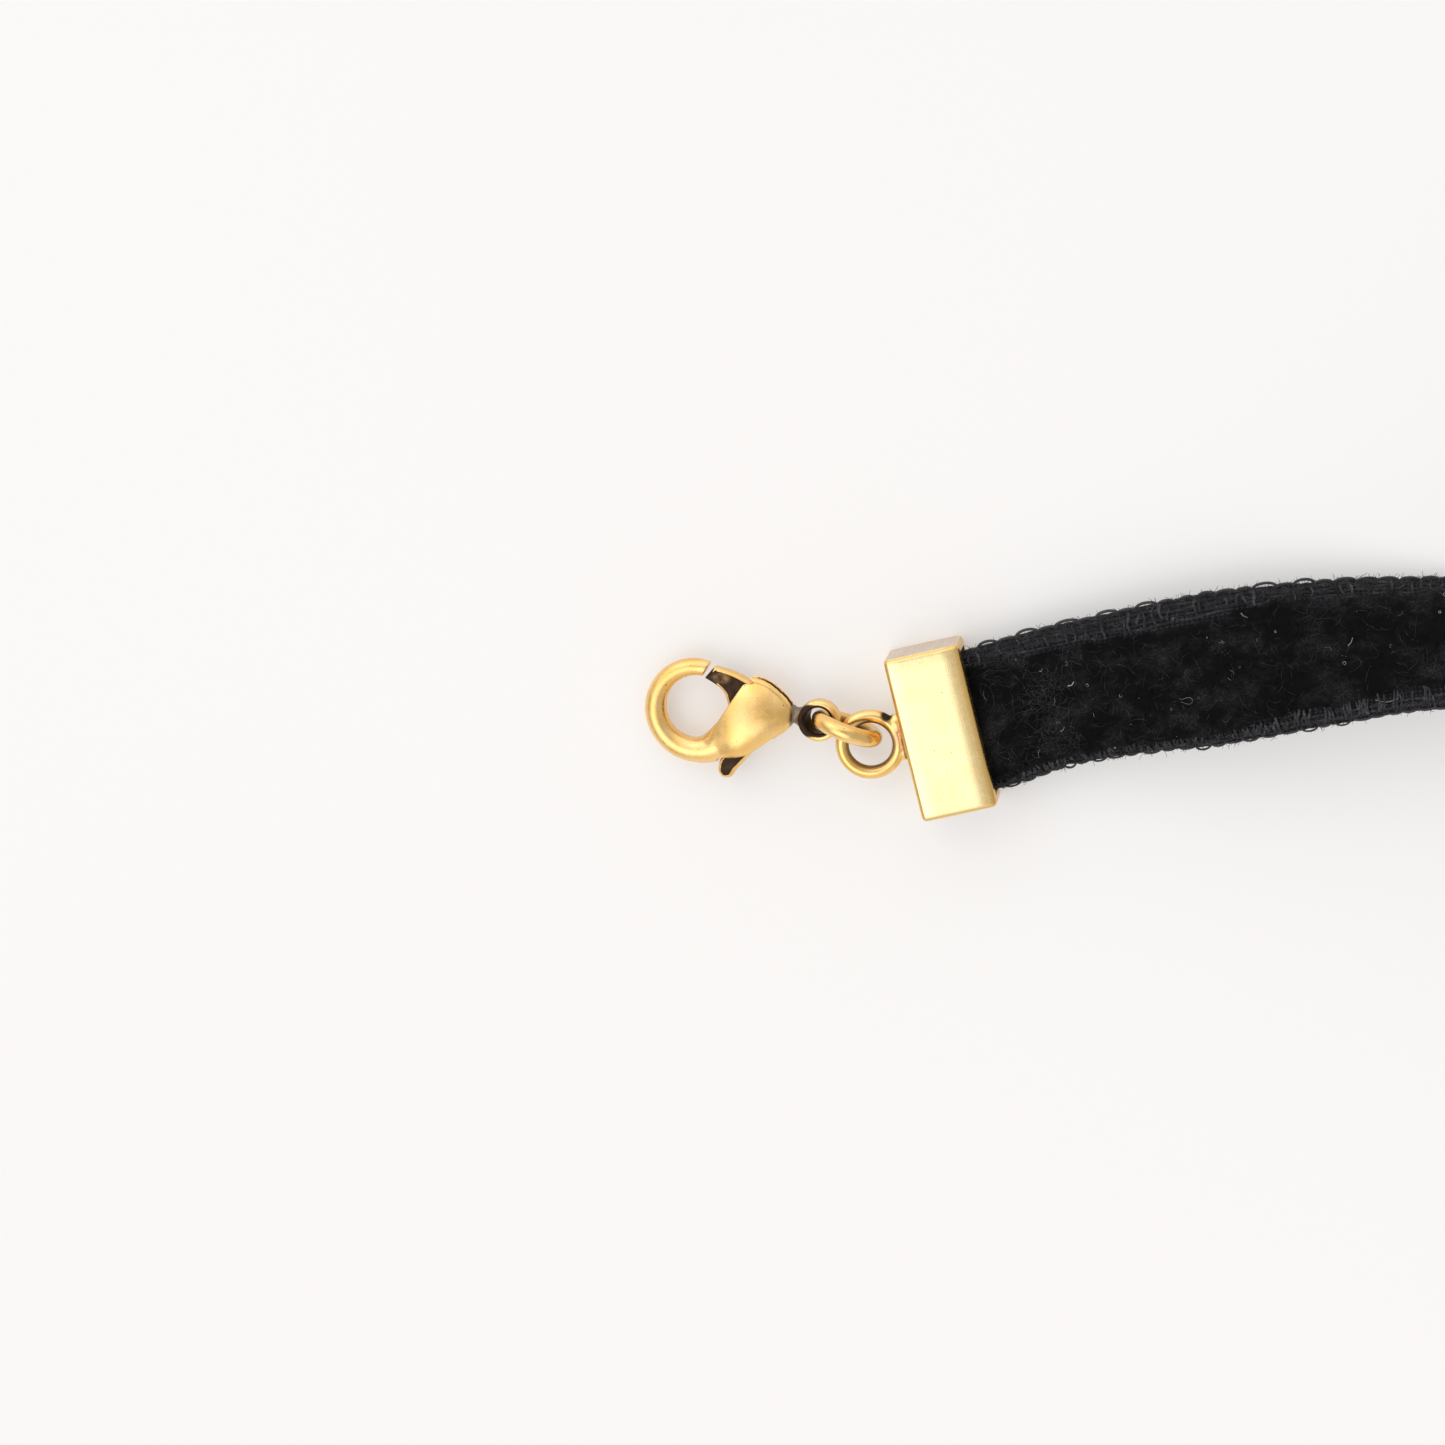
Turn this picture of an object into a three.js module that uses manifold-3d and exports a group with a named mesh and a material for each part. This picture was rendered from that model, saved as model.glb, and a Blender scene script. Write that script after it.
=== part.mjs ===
// A black velvet ribbon choker with antique gold findings: a lobster clasp, a jump ring and a
// glue-in end cap on one end, and a second cap with an extender chain on the other.
// Millimetres, +Z up. The choker lies on a table at Z = 0, and the origin is the centre of its
// footprint. Everything is laid out in a table frame whose origin is beside the hook's opening.
import * as THREE from "three";
import { mergeVertices } from "three/addons/utils/BufferGeometryUtils.js";
import Module from "manifold-3d";

const wasm = await Module();
wasm.setup();

// ---------- driving dimensions ----------
const FOOTPRINT_CENTRE = [70.1, -30.8]; // of the whole choker, in the table frame

const RIBBON = { width: 10, thickness: 1.4, edge: 0.4, steps: 80 };

// The ribbon's centre line: x, y, z, and roll in degrees (0 lies flat with the pile up, -90 stands
// on edge with the pile facing outwards).
const RIBBON_ROUTE = [
  [13.9, -0.32, 2.0, 0],
  [17.9, 0.72, 2.0, 0],
  [23.2, 2.3, 2.4, -1],
  [28.5, 3.7, 3.2, -5],
  [34.0, 4.9, 3.9, -11],
  [39.5, 5.95, 4.1, -17],
  [45.0, 6.8, 3.9, -25],
  [50.5, 7.3, 3.8, -35],
  [57.5, 7.8, 4.25, -52],
  [65.5, 8.1, 4.85, -70],
  [75.0, 8.1, 5.1, -84],
  [86.0, 8.2, 5.1, -90],
  [97.0, 8.2, 5.1, -90],
  [108.0, 7.0, 5.1, -90],
  [119.0, 3.8, 5.1, -90],
  [129.0, -2.0, 5.1, -90],
  [137.0, -10.5, 5.1, -90],
  [142.5, -21.0, 5.1, -90],
  [145.0, -32.5, 5.1, -90],
  [144.3, -44.0, 5.1, -90],
  [140.0, -55.0, 5.1, -90],
  [132.5, -63.8, 5.1, -90],
  [122.5, -69.5, 5.1, -90],
  [111.5, -72.0, 5.1, -90],
  [100.5, -72.3, 5.1, -88],
  [90.0, -70.6, 5.05, -76],
  [81.0, -66.6, 4.6, -57],
  [74.3, -60.2, 3.7, -35],
  [70.8, -52.5, 2.75, -15],
  [69.1, -46.6, 2.15, -3],
  [68.44, -42.68, 2.0, 0],
  [68.0, -38.5, 2.0, 0],
];

const CAP = {
  across: 11.65, // over the ribbon's width
  along: 5.3,
  height: 4.0,
  corner: 0.8,
  bevel: 0.35,
  wall: 0.65,
  slotHeight: 2.3,
  slotDepth: 4.4,
  backGap: 0.15,
  ribbonEnd: -1.35, // where the ribbon stops inside, from the cap's middle
};
const CAP_A = { x: 15.22, y: 0.02, heading: 14.2 };
const CAP_B = { x: 68.14, y: -39.84, heading: 96 };

const CAP_RING = { radius: 1.97, wire: 0.48, z: 2.0, sides: 8, segments: 24 };
const SOLDER = { radius: 0.5, stretch: [1, 1.35, 0.85], beyondCap: 0.32, aside: 0.92, gap: 0.03 };
const RING_TO_CAP = CAP.along / 2 + CAP_RING.radius + CAP_RING.wire;

const JUMP_RING = {
  x: 8.66,
  y: -0.08,
  z: 2.58,
  heading: -18.9,
  radius: 1.95,
  wire: 0.6,
  sides: 10,
  segments: 28,
};

// The clasp's own frame has its origin at the centre of the eye, X along the clasp towards the
// ribbon and Z along the eye's hole.
const CLASP = { x: 6.69, y: 0.405, z: 2.35, tilt: -6 };
const EYE = { outer: 1.48, inner: 1.04, halfHeight: 0.7, round: 0.16, sides: 24 };
const HOOK = { x: -8.6, y: 0.45, radius: 2.92, tipAngle: 71, rootAngle: 318, steps: 24, sides: 12 };
const NECK = { x: -1.65, y: 0.12, eyeRadius: 0.66, bulbRadius: 0.72, length: 1.3, sides: 14 };
const LEVER = {
  thickness: 1.1,
  bevel: 0.2,
  pivotX: -4.2,
  pivotY: 0.3,
  openAngle: 22,
  tabX: -6.48, // the round thumb tab
  tabY: -3.77,
  tabRadius: 0.54,
  tabFrom: 189,
  tabTo: 320,
};
const SLOT = { clearance: 0.12, side: 0.14, seamHeight: 0.6, sweepStops: 5 };
const RIVET = { radius: 0.4, halfLength: 1.05, clearance: 0.1, sides: 16 };
const SPRING = { leaf: 0.12, width: 0.9 };

const LINK = {
  length: 6.2,
  width: 4.3,
  wire: 0.45,
  count: 8,
  pitch: 4.2,
  roll: 45,
  z: 1.98,
  play: 0.3,
  sides: 8,
  segments: 18,
};
const CHAIN_TURN = -19; // degrees from each link to the next as the chain lies

// ---------- materials ----------
const ANTIQUE_GOLD = { color: 0xc99a3f, roughness: 0.32, metalness: 1 };
const DARK_PATINA = { color: 0x4a3a30, roughness: 0.55, metalness: 0.8 };
const STEEL = { color: 0x9a9a96, roughness: 0.4, metalness: 1 };
const BLACK_VELVET = { color: 0x0c0b0e, roughness: 0.95, metalness: 0 };
const CLEAR_GLUE = { color: 0xb9ab7e, roughness: 0.3, metalness: 0 };

// ---------- helpers ----------
const rad = THREE.MathUtils.degToRad;

function toSolid(geometry) {
  const bare = geometry.clone();
  bare.deleteAttribute("normal");
  bare.deleteAttribute("uv");
  const merged = mergeVertices(bare, 1e-4);
  return new wasm.Manifold(
    new wasm.Mesh({
      numProp: 3,
      vertProperties: new Float32Array(merged.attributes.position.array),
      triVerts: new Uint32Array(merged.index.array),
    }),
  );
}

function toGeometry(solid) {
  const mesh = solid.getMesh();
  const geometry = new THREE.BufferGeometry();
  geometry.setAttribute("position", new THREE.BufferAttribute(mesh.vertProperties, 3));
  geometry.setIndex(new THREE.BufferAttribute(mesh.triVerts, 1));
  geometry.computeVertexNormals();
  return geometry;
}

function namedMesh(name, geometry, finish) {
  const mesh = new THREE.Mesh(geometry, new THREE.MeshStandardMaterial(finish));
  mesh.name = name;
  return mesh;
}

// Joins rings of equal vertex count into one closed skin, with a flat fan over each end.
function loft(rings) {
  const count = rings[0].length;
  const middle = (ring) =>
    ring.reduce((sum, p) => sum.add(p), new THREE.Vector3()).divideScalar(count);
  const points = [...rings.flat(), middle(rings[0]), middle(rings.at(-1))];
  const first = rings.length * count;
  const last = (rings.length - 1) * count;
  const index = [];
  for (let i = 0; i < rings.length - 1; i++) {
    for (let j = 0; j < count; j++) {
      const a = i * count + j;
      const b = i * count + ((j + 1) % count);
      index.push(a, b, b + count, a, b + count, a + count);
    }
  }
  for (let j = 0; j < count; j++) {
    const next = (j + 1) % count;
    index.push(first, next, j);
    index.push(first + 1, last + j, last + next);
  }
  const geometry = new THREE.BufferGeometry().setFromPoints(points);
  geometry.setIndex(index);
  geometry.computeVertexNormals();
  return geometry;
}

// A flat outline pulled up by height, its middle at Z = 0; grow moves its walls outwards.
function prism(points, height, grow = 0) {
  const shape = new THREE.Shape(points.map(([x, y]) => new THREE.Vector2(x, y)));
  const geometry = new THREE.ExtrudeGeometry(shape, {
    depth: height,
    bevelEnabled: grow > 0,
    bevelSize: grow,
    bevelThickness: 1e-3,
    bevelSegments: 1,
  });
  geometry.translate(0, 0, -height / 2);
  return geometry;
}

function spline(points) {
  return new THREE.SplineCurve(points.map(([x, y]) => new THREE.Vector2(x, y)));
}

// A cylinder on the lever's pivot, in the clasp's own frame.
function atPivot(radius, height) {
  const pin = new THREE.CylinderGeometry(radius, radius, height, RIVET.sides);
  pin.rotateX(Math.PI / 2);
  pin.translate(LEVER.pivotX, LEVER.pivotY, 0);
  return pin;
}

// ---------- ribbon ----------
function ribbonSection() {
  const halfWidth = RIBBON.width / 2;
  const halfThick = RIBBON.thickness / 2;
  const inner = halfWidth - RIBBON.edge;
  const low = halfThick - RIBBON.edge;
  return [
    [halfWidth, -low],
    [halfWidth, low],
    [inner, halfThick],
    [-inner, halfThick],
    [-halfWidth, low],
    [-halfWidth, -low],
    [-inner, -halfThick],
    [inner, -halfThick],
  ];
}

function ribbonGeometry() {
  const centre = new THREE.CatmullRomCurve3(
    RIBBON_ROUTE.map(([x, y, z]) => new THREE.Vector3(x, y, z)),
    false,
    "centripetal",
  );
  const rolls = new THREE.CatmullRomCurve3(
    RIBBON_ROUTE.map(([, , , roll], i) => new THREE.Vector3(i, roll, 0)),
    false,
    "catmullrom",
    0.3,
  );
  const section = ribbonSection();
  const up = new THREE.Vector3(0, 0, 1);
  const rings = [];
  for (let i = 0; i <= RIBBON.steps; i++) {
    const t = centre.getUtoTmapping(i / RIBBON.steps);
    const middle = centre.getPoint(t);
    const tangent = centre.getTangent(t);
    const left = new THREE.Vector3().crossVectors(up, tangent).normalize();
    const normal = new THREE.Vector3().crossVectors(tangent, left);
    const roll = rad(rolls.getPoint(t).y);
    const across = left.clone().applyAxisAngle(tangent, roll);
    const face = normal.clone().applyAxisAngle(tangent, roll);
    rings.push(
      section.map(([a, n]) =>
        middle.clone().addScaledVector(across, a).addScaledVector(face, n),
      ),
    );
  }
  return loft(rings);
}

// ---------- end caps ----------
// In a cap's own frame X points out of its mouth, along the ribbon.
function roundedBox(along, across, height, corner, bevel) {
  const x = along / 2 - bevel;
  const y = across / 2 - bevel;
  const r = corner - bevel;
  const shape = new THREE.Shape();
  shape.moveTo(-x + r, -y);
  shape.lineTo(x - r, -y);
  shape.absarc(x - r, -y + r, r, -Math.PI / 2, 0, false);
  shape.lineTo(x, y - r);
  shape.absarc(x - r, y - r, r, 0, Math.PI / 2, false);
  shape.lineTo(-x + r, y);
  shape.absarc(-x + r, y - r, r, Math.PI / 2, Math.PI, false);
  shape.lineTo(-x, -y + r);
  shape.absarc(-x + r, -y + r, r, Math.PI, 1.5 * Math.PI, false);
  const geometry = new THREE.ExtrudeGeometry(shape, {
    depth: height - 2 * bevel,
    bevelEnabled: true,
    bevelSize: bevel,
    bevelThickness: bevel,
    bevelSegments: 3,
    curveSegments: 4,
  });
  geometry.translate(0, 0, bevel);
  return geometry;
}

function capGeometry() {
  const shell = toSolid(roundedBox(CAP.along, CAP.across, CAP.height, CAP.corner, CAP.bevel));
  const pocket = new THREE.BoxGeometry(2 * CAP.slotDepth, CAP.across - 2 * CAP.wall, CAP.slotHeight);
  pocket.translate(CAP.along / 2, 0, CAP.height / 2);
  return toGeometry(shell.subtract(toSolid(pocket)));
}

function adhesiveGeometry() {
  const pocketBack = CAP.along / 2 - CAP.slotDepth;
  const depth = CAP.ribbonEnd - pocketBack - 2 * CAP.backGap;
  const width = RIBBON.width - 4 * CAP.backGap;
  const glue = new THREE.BoxGeometry(depth, width, RIBBON.thickness);
  glue.translate(pocketBack + CAP.backGap + depth / 2, 0, CAP.height / 2);
  return glue;
}

// The soldered ring: a ring cut flat where it meets the cap, with two short solder fillets.
function capRingGeometry() {
  const { radius, wire, z, sides, segments } = CAP_RING;
  const ring = new THREE.TorusGeometry(radius, wire, sides, segments);
  ring.translate(-RING_TO_CAP, 0, z);
  let solid = toSolid(ring);
  for (const side of [-1, 1]) {
    const fillet = new THREE.SphereGeometry(SOLDER.radius, 10, 6);
    fillet.scale(...SOLDER.stretch);
    fillet.translate(-CAP.along / 2 - SOLDER.beyondCap, side * SOLDER.aside, z);
    solid = solid.add(toSolid(fillet));
  }
  const beyond = new THREE.BoxGeometry(CAP.along, CAP.across, CAP.height * 2);
  beyond.translate(-SOLDER.gap, 0, CAP.height / 2);
  return toGeometry(solid.subtract(toSolid(beyond)));
}

function capGroup(place, suffix) {
  const group = new THREE.Group();
  group.position.set(place.x, place.y, 0);
  group.rotation.z = rad(place.heading);
  group.add(namedMesh("end_cap_" + suffix, capGeometry(), ANTIQUE_GOLD));
  group.add(namedMesh("adhesive_" + suffix, adhesiveGeometry(), CLEAR_GLUE));
  group.add(namedMesh("cap_ring_" + suffix, capRingGeometry(), ANTIQUE_GOLD));
  return group;
}

// ---------- clasp ----------
// Radius of the hook's rod against the angle round the hook, from its tip to its root.
function rodRadius(angle) {
  const stops = [
    [75, 0.57],
    [90, 0.6],
    [135, 0.66],
    [180, 0.76],
    [230, 0.82],
    [270, 0.89],
    [300, 1.1],
    [318, 1.25],
  ];
  const k = stops.findIndex(([a]) => a >= angle);
  if (k <= 0) return stops[Math.max(k, 0)][1];
  const [a0, r0] = stops[k - 1];
  const [a1, r1] = stops[k];
  return r0 + ((r1 - r0) * (angle - a0)) / (a1 - a0);
}

function hookGeometry() {
  const rings = [];
  for (let i = 0; i <= HOOK.steps; i++) {
    const angle = THREE.MathUtils.lerp(HOOK.tipAngle, HOOK.rootAngle, i / HOOK.steps);
    const a = rad(angle);
    const r = rodRadius(angle);
    const ring = [];
    for (let j = 0; j < HOOK.sides; j++) {
      const b = (2 * Math.PI * j) / HOOK.sides;
      const reach = HOOK.radius + r * Math.cos(b);
      ring.push(
        new THREE.Vector3(HOOK.x + reach * Math.cos(a), HOOK.y + reach * Math.sin(a), -r * Math.sin(b)),
      );
    }
    rings.push(ring);
  }
  return loft(rings);
}

// Cross-sections of the bulb from its nose to the neck: x, lowest y, highest y, and half of its
// thickness.
const BULB_STEPS = 18;
const BULB_SIDES = 20;
const BULB_SECTIONS = [
  [-8.3, -3.3, -1.65, 0.8],
  [-7.7, -3.3, -0.9, 1.05],
  [-7.1, -3.24, 0.6, 1.28],
  [-6.5, -3.16, 1.9, 1.45],
  [-5.8, -3.0, 2.6, 1.6],
  [-5.0, -2.7, 2.9, 1.68],
  [-4.2, -2.25, 2.9, 1.7],
  [-3.5, -1.75, 2.65, 1.62],
  [-2.9, -1.3, 2.25, 1.45],
  [-2.4, -0.95, 1.75, 1.2],
  [-2.0, -0.72, 1.25, 0.95],
  [-1.7, -0.6, 0.95, 0.75],
];

function bulbGeometry() {
  const lowEdge = spline(BULB_SECTIONS.map(([x, low]) => [x, low]));
  const highEdge = spline(BULB_SECTIONS.map(([x, , high]) => [x, high]));
  const depth = spline(BULB_SECTIONS.map(([x, , , half]) => [x, half]));
  const rings = [];
  for (let i = 0; i <= BULB_STEPS; i++) {
    const t = i / BULB_STEPS;
    const low = lowEdge.getPoint(t);
    const high = highEdge.getPoint(t);
    const half = depth.getPoint(t).y;
    const middle = (low.y + high.y) / 2;
    const reach = (high.y - low.y) / 2;
    const ring = [];
    for (let j = 0; j < BULB_SIDES; j++) {
      const b = (2 * Math.PI * j) / BULB_SIDES;
      ring.push(new THREE.Vector3(low.x, middle + reach * Math.cos(b), half * Math.sin(b)));
    }
    rings.push(ring);
  }
  return loft(rings);
}

function neckGeometry() {
  const { eyeRadius, bulbRadius, length, sides } = NECK;
  const neck = new THREE.CylinderGeometry(eyeRadius, bulbRadius, length, sides);
  neck.rotateZ(-Math.PI / 2);
  neck.translate(NECK.x, NECK.y, 0);
  return neck;
}

function eyeGeometry() {
  const { outer, inner, halfHeight: h, round: r } = EYE;
  const profile = [
    [inner + r, -h],
    [outer - r, -h],
    [outer, -h + r],
    [outer, h - r],
    [outer - r, h],
    [inner + r, h],
    [inner, h - r],
    [inner, -h + r],
    [inner + r, -h],
  ].map(([x, y]) => new THREE.Vector2(x, y));
  const eye = new THREE.LatheGeometry(profile, EYE.sides);
  eye.rotateX(Math.PI / 2);
  return eye;
}

// The lever's outline: gate tip, inner edge, thumb tab, back edge, top edge.
function leverOutline() {
  const inner = spline([
    [-7.96, 2.67],
    [-7.19, 2.24],
    [-6.55, 1.64],
    [-6.3, 0.8],
    [-6.0, -0.1],
    [-5.9, -1.0],
    [-6.2, -2.0],
    [-6.85, -3.0],
    [-7.02, -3.7],
  ]);
  const { tabX, tabY, tabRadius, tabFrom, tabTo } = LEVER;
  const tab = new THREE.EllipseCurve(tabX, tabY, tabRadius, tabRadius, rad(tabFrom), rad(tabTo));
  const back = spline([
    [-5.77, -3.75],
    [-4.78, -2.65],
    [-3.85, -1.5],
    [-3.25, -0.5],
    [-3.15, 0.5],
    [-3.55, 1.5],
    [-4.2, 2.2],
    [-5.0, 2.72],
    [-6.1, 3.2],
    [-7.27, 3.5],
  ]);
  const outline = [...inner.getPoints(20), ...tab.getPoints(7), ...back.getPoints(22)];
  return outline.map((p) => [p.x, p.y]);
}

function leverGeometry() {
  const shape = new THREE.Shape(leverOutline().map(([x, y]) => new THREE.Vector2(x, y)));
  const body = new THREE.ExtrudeGeometry(shape, {
    depth: LEVER.thickness - 2 * LEVER.bevel,
    bevelEnabled: true,
    bevelSize: LEVER.bevel,
    bevelThickness: LEVER.bevel,
    bevelOffset: -LEVER.bevel,
    bevelSegments: 2,
  });
  body.translate(0, 0, -LEVER.thickness / 2 + LEVER.bevel);
  const hole = atPivot(RIVET.radius + RIVET.clearance, 2 * LEVER.thickness);
  return toGeometry(toSolid(body).subtract(toSolid(hole)));
}

const MOUTH_HEIGHT = 6; // well over the bulb's thickness

// The room the lever needs inside the bulb, from shut to open, and the seam along the back.
function slotSolid() {
  const height = LEVER.thickness + 2 * SLOT.clearance;
  let slot = toSolid(
    prism(
      [
        [-5.2, 3.4],
        [-5.4, 2.2],
        [-4.0, 1.4],
        [-2.75, 0.75],
        [-2.1, 0.6],
        [-1.75, 1.0],
        [-2.6, 2.6],
        [-3.8, 3.4],
      ],
      SLOT.seamHeight,
    ),
  );
  const springPocket = prism(
    [
      [-3.15, -0.75],
      [-2.4, -0.52],
      [-2.05, 0.05],
      [-2.1, 0.75],
      [-3.15, 0.9],
    ],
    height,
  );
  slot = slot.add(toSolid(springPocket));
  for (let i = 0; i < SLOT.sweepStops; i++) {
    const sweep = prism(leverOutline(), height, SLOT.side);
    sweep.translate(-LEVER.pivotX, -LEVER.pivotY, 0);
    sweep.rotateZ(rad((LEVER.openAngle * i) / (SLOT.sweepStops - 1)));
    sweep.translate(LEVER.pivotX, LEVER.pivotY, 0);
    slot = slot.add(toSolid(sweep));
  }
  return slot;
}

function claspBodyGeometry() {
  // The straight cut across the bulb's mouth and the face of the hook's tip.
  const mouth = prism(
    [
      [-4.6, 4.0],
      [-4.74, 2.86],
      [-5.12, 2.5],
      [-5.49, 1.94],
      [-6.06, 1.04],
      [-6.88, -0.2],
      [-7.6, -1.0],
      [-8.0, -1.3],
      [-8.45, -1.52],
      [-9.1, -0.9],
      [-9.0, 2.2],
      [-8.25, 2.58],
      [-7.4, 4.1],
    ],
    MOUTH_HEIGHT,
  );
  const bore = new THREE.CylinderGeometry(EYE.inner, EYE.inner, 6 * EYE.halfHeight, EYE.sides);
  bore.rotateX(Math.PI / 2);
  const { radius, halfLength, clearance } = RIVET;
  const rivetHole = atPivot(radius + clearance, 2 * (halfLength + clearance));
  const solid = toSolid(bulbGeometry())
    .add(toSolid(hookGeometry()))
    .subtract(toSolid(mouth))
    .add(toSolid(neckGeometry()))
    .subtract(toSolid(bore))
    .add(toSolid(eyeGeometry()))
    .subtract(slotSolid())
    .subtract(toSolid(rivetHole));
  return toGeometry(solid);
}

// The bent leaf that holds the lever shut, in its pocket behind the lever.
function springGeometry() {
  const half = SPRING.leaf / 2;
  const section = new THREE.Shape();
  section.moveTo(-SPRING.width / 2, -half);
  section.lineTo(SPRING.width / 2, -half);
  section.lineTo(SPRING.width / 2, half);
  section.lineTo(-SPRING.width / 2, half);
  const bend = new THREE.CatmullRomCurve3(
    [
      [-2.8, 0.6],
      [-2.76, 0.1],
      [-2.68, -0.28],
      [-2.48, -0.34],
      [-2.34, -0.12],
      [-2.3, 0.3],
      [-2.32, 0.62],
    ].map(([x, y]) => new THREE.Vector3(x, y, 0)),
  );
  return new THREE.ExtrudeGeometry(section, { extrudePath: bend, steps: 14, bevelEnabled: false });
}

function claspGroup() {
  const group = new THREE.Group();
  group.position.set(CLASP.x, CLASP.y, CLASP.z);
  group.rotation.y = rad(CLASP.tilt);
  group.add(namedMesh("clasp_body", claspBodyGeometry(), ANTIQUE_GOLD));
  group.add(namedMesh("clasp_trigger", leverGeometry(), DARK_PATINA));
  group.add(namedMesh("clasp_rivet", atPivot(RIVET.radius, 2 * RIVET.halfLength), STEEL));
  group.add(namedMesh("clasp_spring", springGeometry(), STEEL));
  return group;
}

function jumpRing() {
  const { radius, wire, sides, segments } = JUMP_RING;
  const ring = new THREE.TorusGeometry(radius, wire, sides, segments);
  ring.rotateX(Math.PI / 2);
  const mesh = namedMesh("jump_ring", ring, ANTIQUE_GOLD);
  mesh.position.set(JUMP_RING.x, JUMP_RING.y, JUMP_RING.z);
  mesh.rotation.z = rad(JUMP_RING.heading);
  return mesh;
}

// ---------- extender chain ----------
function linkGeometry() {
  const bend = LINK.width / 2 - LINK.wire;
  const straight = (LINK.length - LINK.width) / 2;
  const link = new THREE.TorusGeometry(bend, LINK.wire, LINK.sides, LINK.segments);
  const places = link.attributes.position;
  for (let i = 0; i < places.count; i++) {
    places.setX(i, places.getX(i) + straight * Math.sign(places.getX(i)));
  }
  return link;
}

function chainGroup() {
  const group = new THREE.Group();
  const along = new THREE.Vector2(Math.cos(rad(CAP_B.heading)), Math.sin(rad(CAP_B.heading)));
  // The first link hangs on the far side of the soldered ring.
  const reach = RING_TO_CAP + CAP_RING.radius - CAP_RING.wire - LINK.wire - LINK.play;
  const at = new THREE.Vector2(CAP_B.x, CAP_B.y).addScaledVector(along, reach);
  let heading = CAP_B.heading;
  for (let i = 0; i < LINK.count; i++) {
    const half = (LINK.length - 2 * LINK.wire) / 2;
    const forward = new THREE.Vector2(Math.cos(rad(heading)), Math.sin(rad(heading)));
    const centre = at.clone().addScaledVector(forward, half);
    const link = namedMesh("chain_link_" + (i + 1), linkGeometry(), ANTIQUE_GOLD);
    link.position.set(centre.x, centre.y, LINK.z);
    link.rotation.set(rad(i % 2 ? LINK.roll : -LINK.roll), 0, rad(heading), "ZYX");
    group.add(link);
    at.addScaledVector(forward, LINK.pitch);
    heading += CHAIN_TURN;
  }
  return group;
}

// ---------- the choker ----------
const capB = { ...CAP_B, heading: CAP_B.heading + 180 };
const choker = new THREE.Group();
choker.add(namedMesh("velvet_ribbon", ribbonGeometry(), BLACK_VELVET));
choker.add(capGroup(CAP_A, "a"));
choker.add(capGroup(capB, "b"));
choker.add(jumpRing());
choker.add(claspGroup());
choker.add(chainGroup());
choker.position.set(-FOOTPRINT_CENTRE[0], -FOOTPRINT_CENTRE[1], 0);

const part = new THREE.Group();
part.add(choker);

export default part;
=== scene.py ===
"""The looks of a black velvet ribbon choker with antique gold findings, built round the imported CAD.

Pieces are made in millimetres and then put into the frame, which is in metres. The table frame is
the CAD source's own: x along the clasp towards the ribbon, its origin beside the hook's opening.
"""

import math

import bpy
import numpy as np
from mathutils import Matrix, Vector, bvhtree


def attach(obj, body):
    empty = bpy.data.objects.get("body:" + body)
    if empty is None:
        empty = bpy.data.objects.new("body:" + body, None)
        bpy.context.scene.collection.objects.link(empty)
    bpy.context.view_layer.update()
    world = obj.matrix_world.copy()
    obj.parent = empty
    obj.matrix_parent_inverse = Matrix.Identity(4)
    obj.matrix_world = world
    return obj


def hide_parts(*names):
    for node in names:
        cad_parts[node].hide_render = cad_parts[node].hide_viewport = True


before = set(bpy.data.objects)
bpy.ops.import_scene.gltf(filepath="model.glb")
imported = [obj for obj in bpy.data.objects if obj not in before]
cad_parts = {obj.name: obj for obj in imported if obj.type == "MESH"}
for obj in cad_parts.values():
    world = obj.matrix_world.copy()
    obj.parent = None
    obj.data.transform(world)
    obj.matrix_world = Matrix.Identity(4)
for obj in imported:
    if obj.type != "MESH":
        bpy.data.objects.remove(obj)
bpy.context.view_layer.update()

MM = 0.001
FOOTPRINT_CENTRE = (70.1, -30.8)
TABLE = Matrix.Scale(MM, 4) @ Matrix.Translation(
    (-FOOTPRINT_CENTRE[0], -FOOTPRINT_CENTRE[1], 0)
)


def turn(degrees, axis):
    return Matrix.Rotation(math.radians(degrees), 4, axis)


# ---------- camera ----------
TARGET = TABLE @ Vector((0.0, 0.0, 2.0))
CAMERA_DISTANCE = 0.35
CAMERA_LEAN = (7.5, 12.3)  # degrees off the vertical, to the right and to the back
LENS = 126.4


def make_camera():
    towards = Vector([math.tan(math.radians(a)) for a in CAMERA_LEAN] + [1.0]).normalized()
    right = Vector((0, 1, 0)).cross(towards).normalized()
    up = towards.cross(right)
    data = bpy.data.cameras.new("camera")
    data.lens = LENS
    data.sensor_width = 36
    data.clip_start = 0.01
    camera = bpy.data.objects.new("camera", data)
    axes = Matrix((right, up, towards)).transposed().to_4x4()
    camera.matrix_world = Matrix.Translation(TARGET + CAMERA_DISTANCE * towards) @ axes
    bpy.context.scene.collection.objects.link(camera)
    bpy.context.scene.camera = camera


make_camera()


# ---------- meshes ----------
def new_object(name, verts, faces):
    """A smooth-shaded mesh object from points and faces in millimetres."""
    mesh = bpy.data.meshes.new(name)
    mesh.from_pydata([tuple(v) for v in verts], [], [tuple(f) for f in faces])
    mesh.update()
    mesh.shade_smooth()
    obj = bpy.data.objects.new(name, mesh)
    bpy.context.scene.collection.objects.link(obj)
    return obj


def of_vertices(obj, what):
    values = np.zeros(len(obj.data.vertices) * 3)
    obj.data.vertices.foreach_get(what, values)
    return values.reshape(-1, 3)


def coords(obj):
    return of_vertices(obj, "co")


def normals(obj):
    return of_vertices(obj, "normal")


def set_coords(obj, co):
    obj.data.vertices.foreach_set("co", np.asarray(co, np.float32).ravel())
    obj.data.update()


def set_float(obj, name, values):
    attribute = obj.data.attributes.new(name, "FLOAT", "POINT")
    attribute.data.foreach_set("value", np.asarray(values, np.float32))


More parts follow.
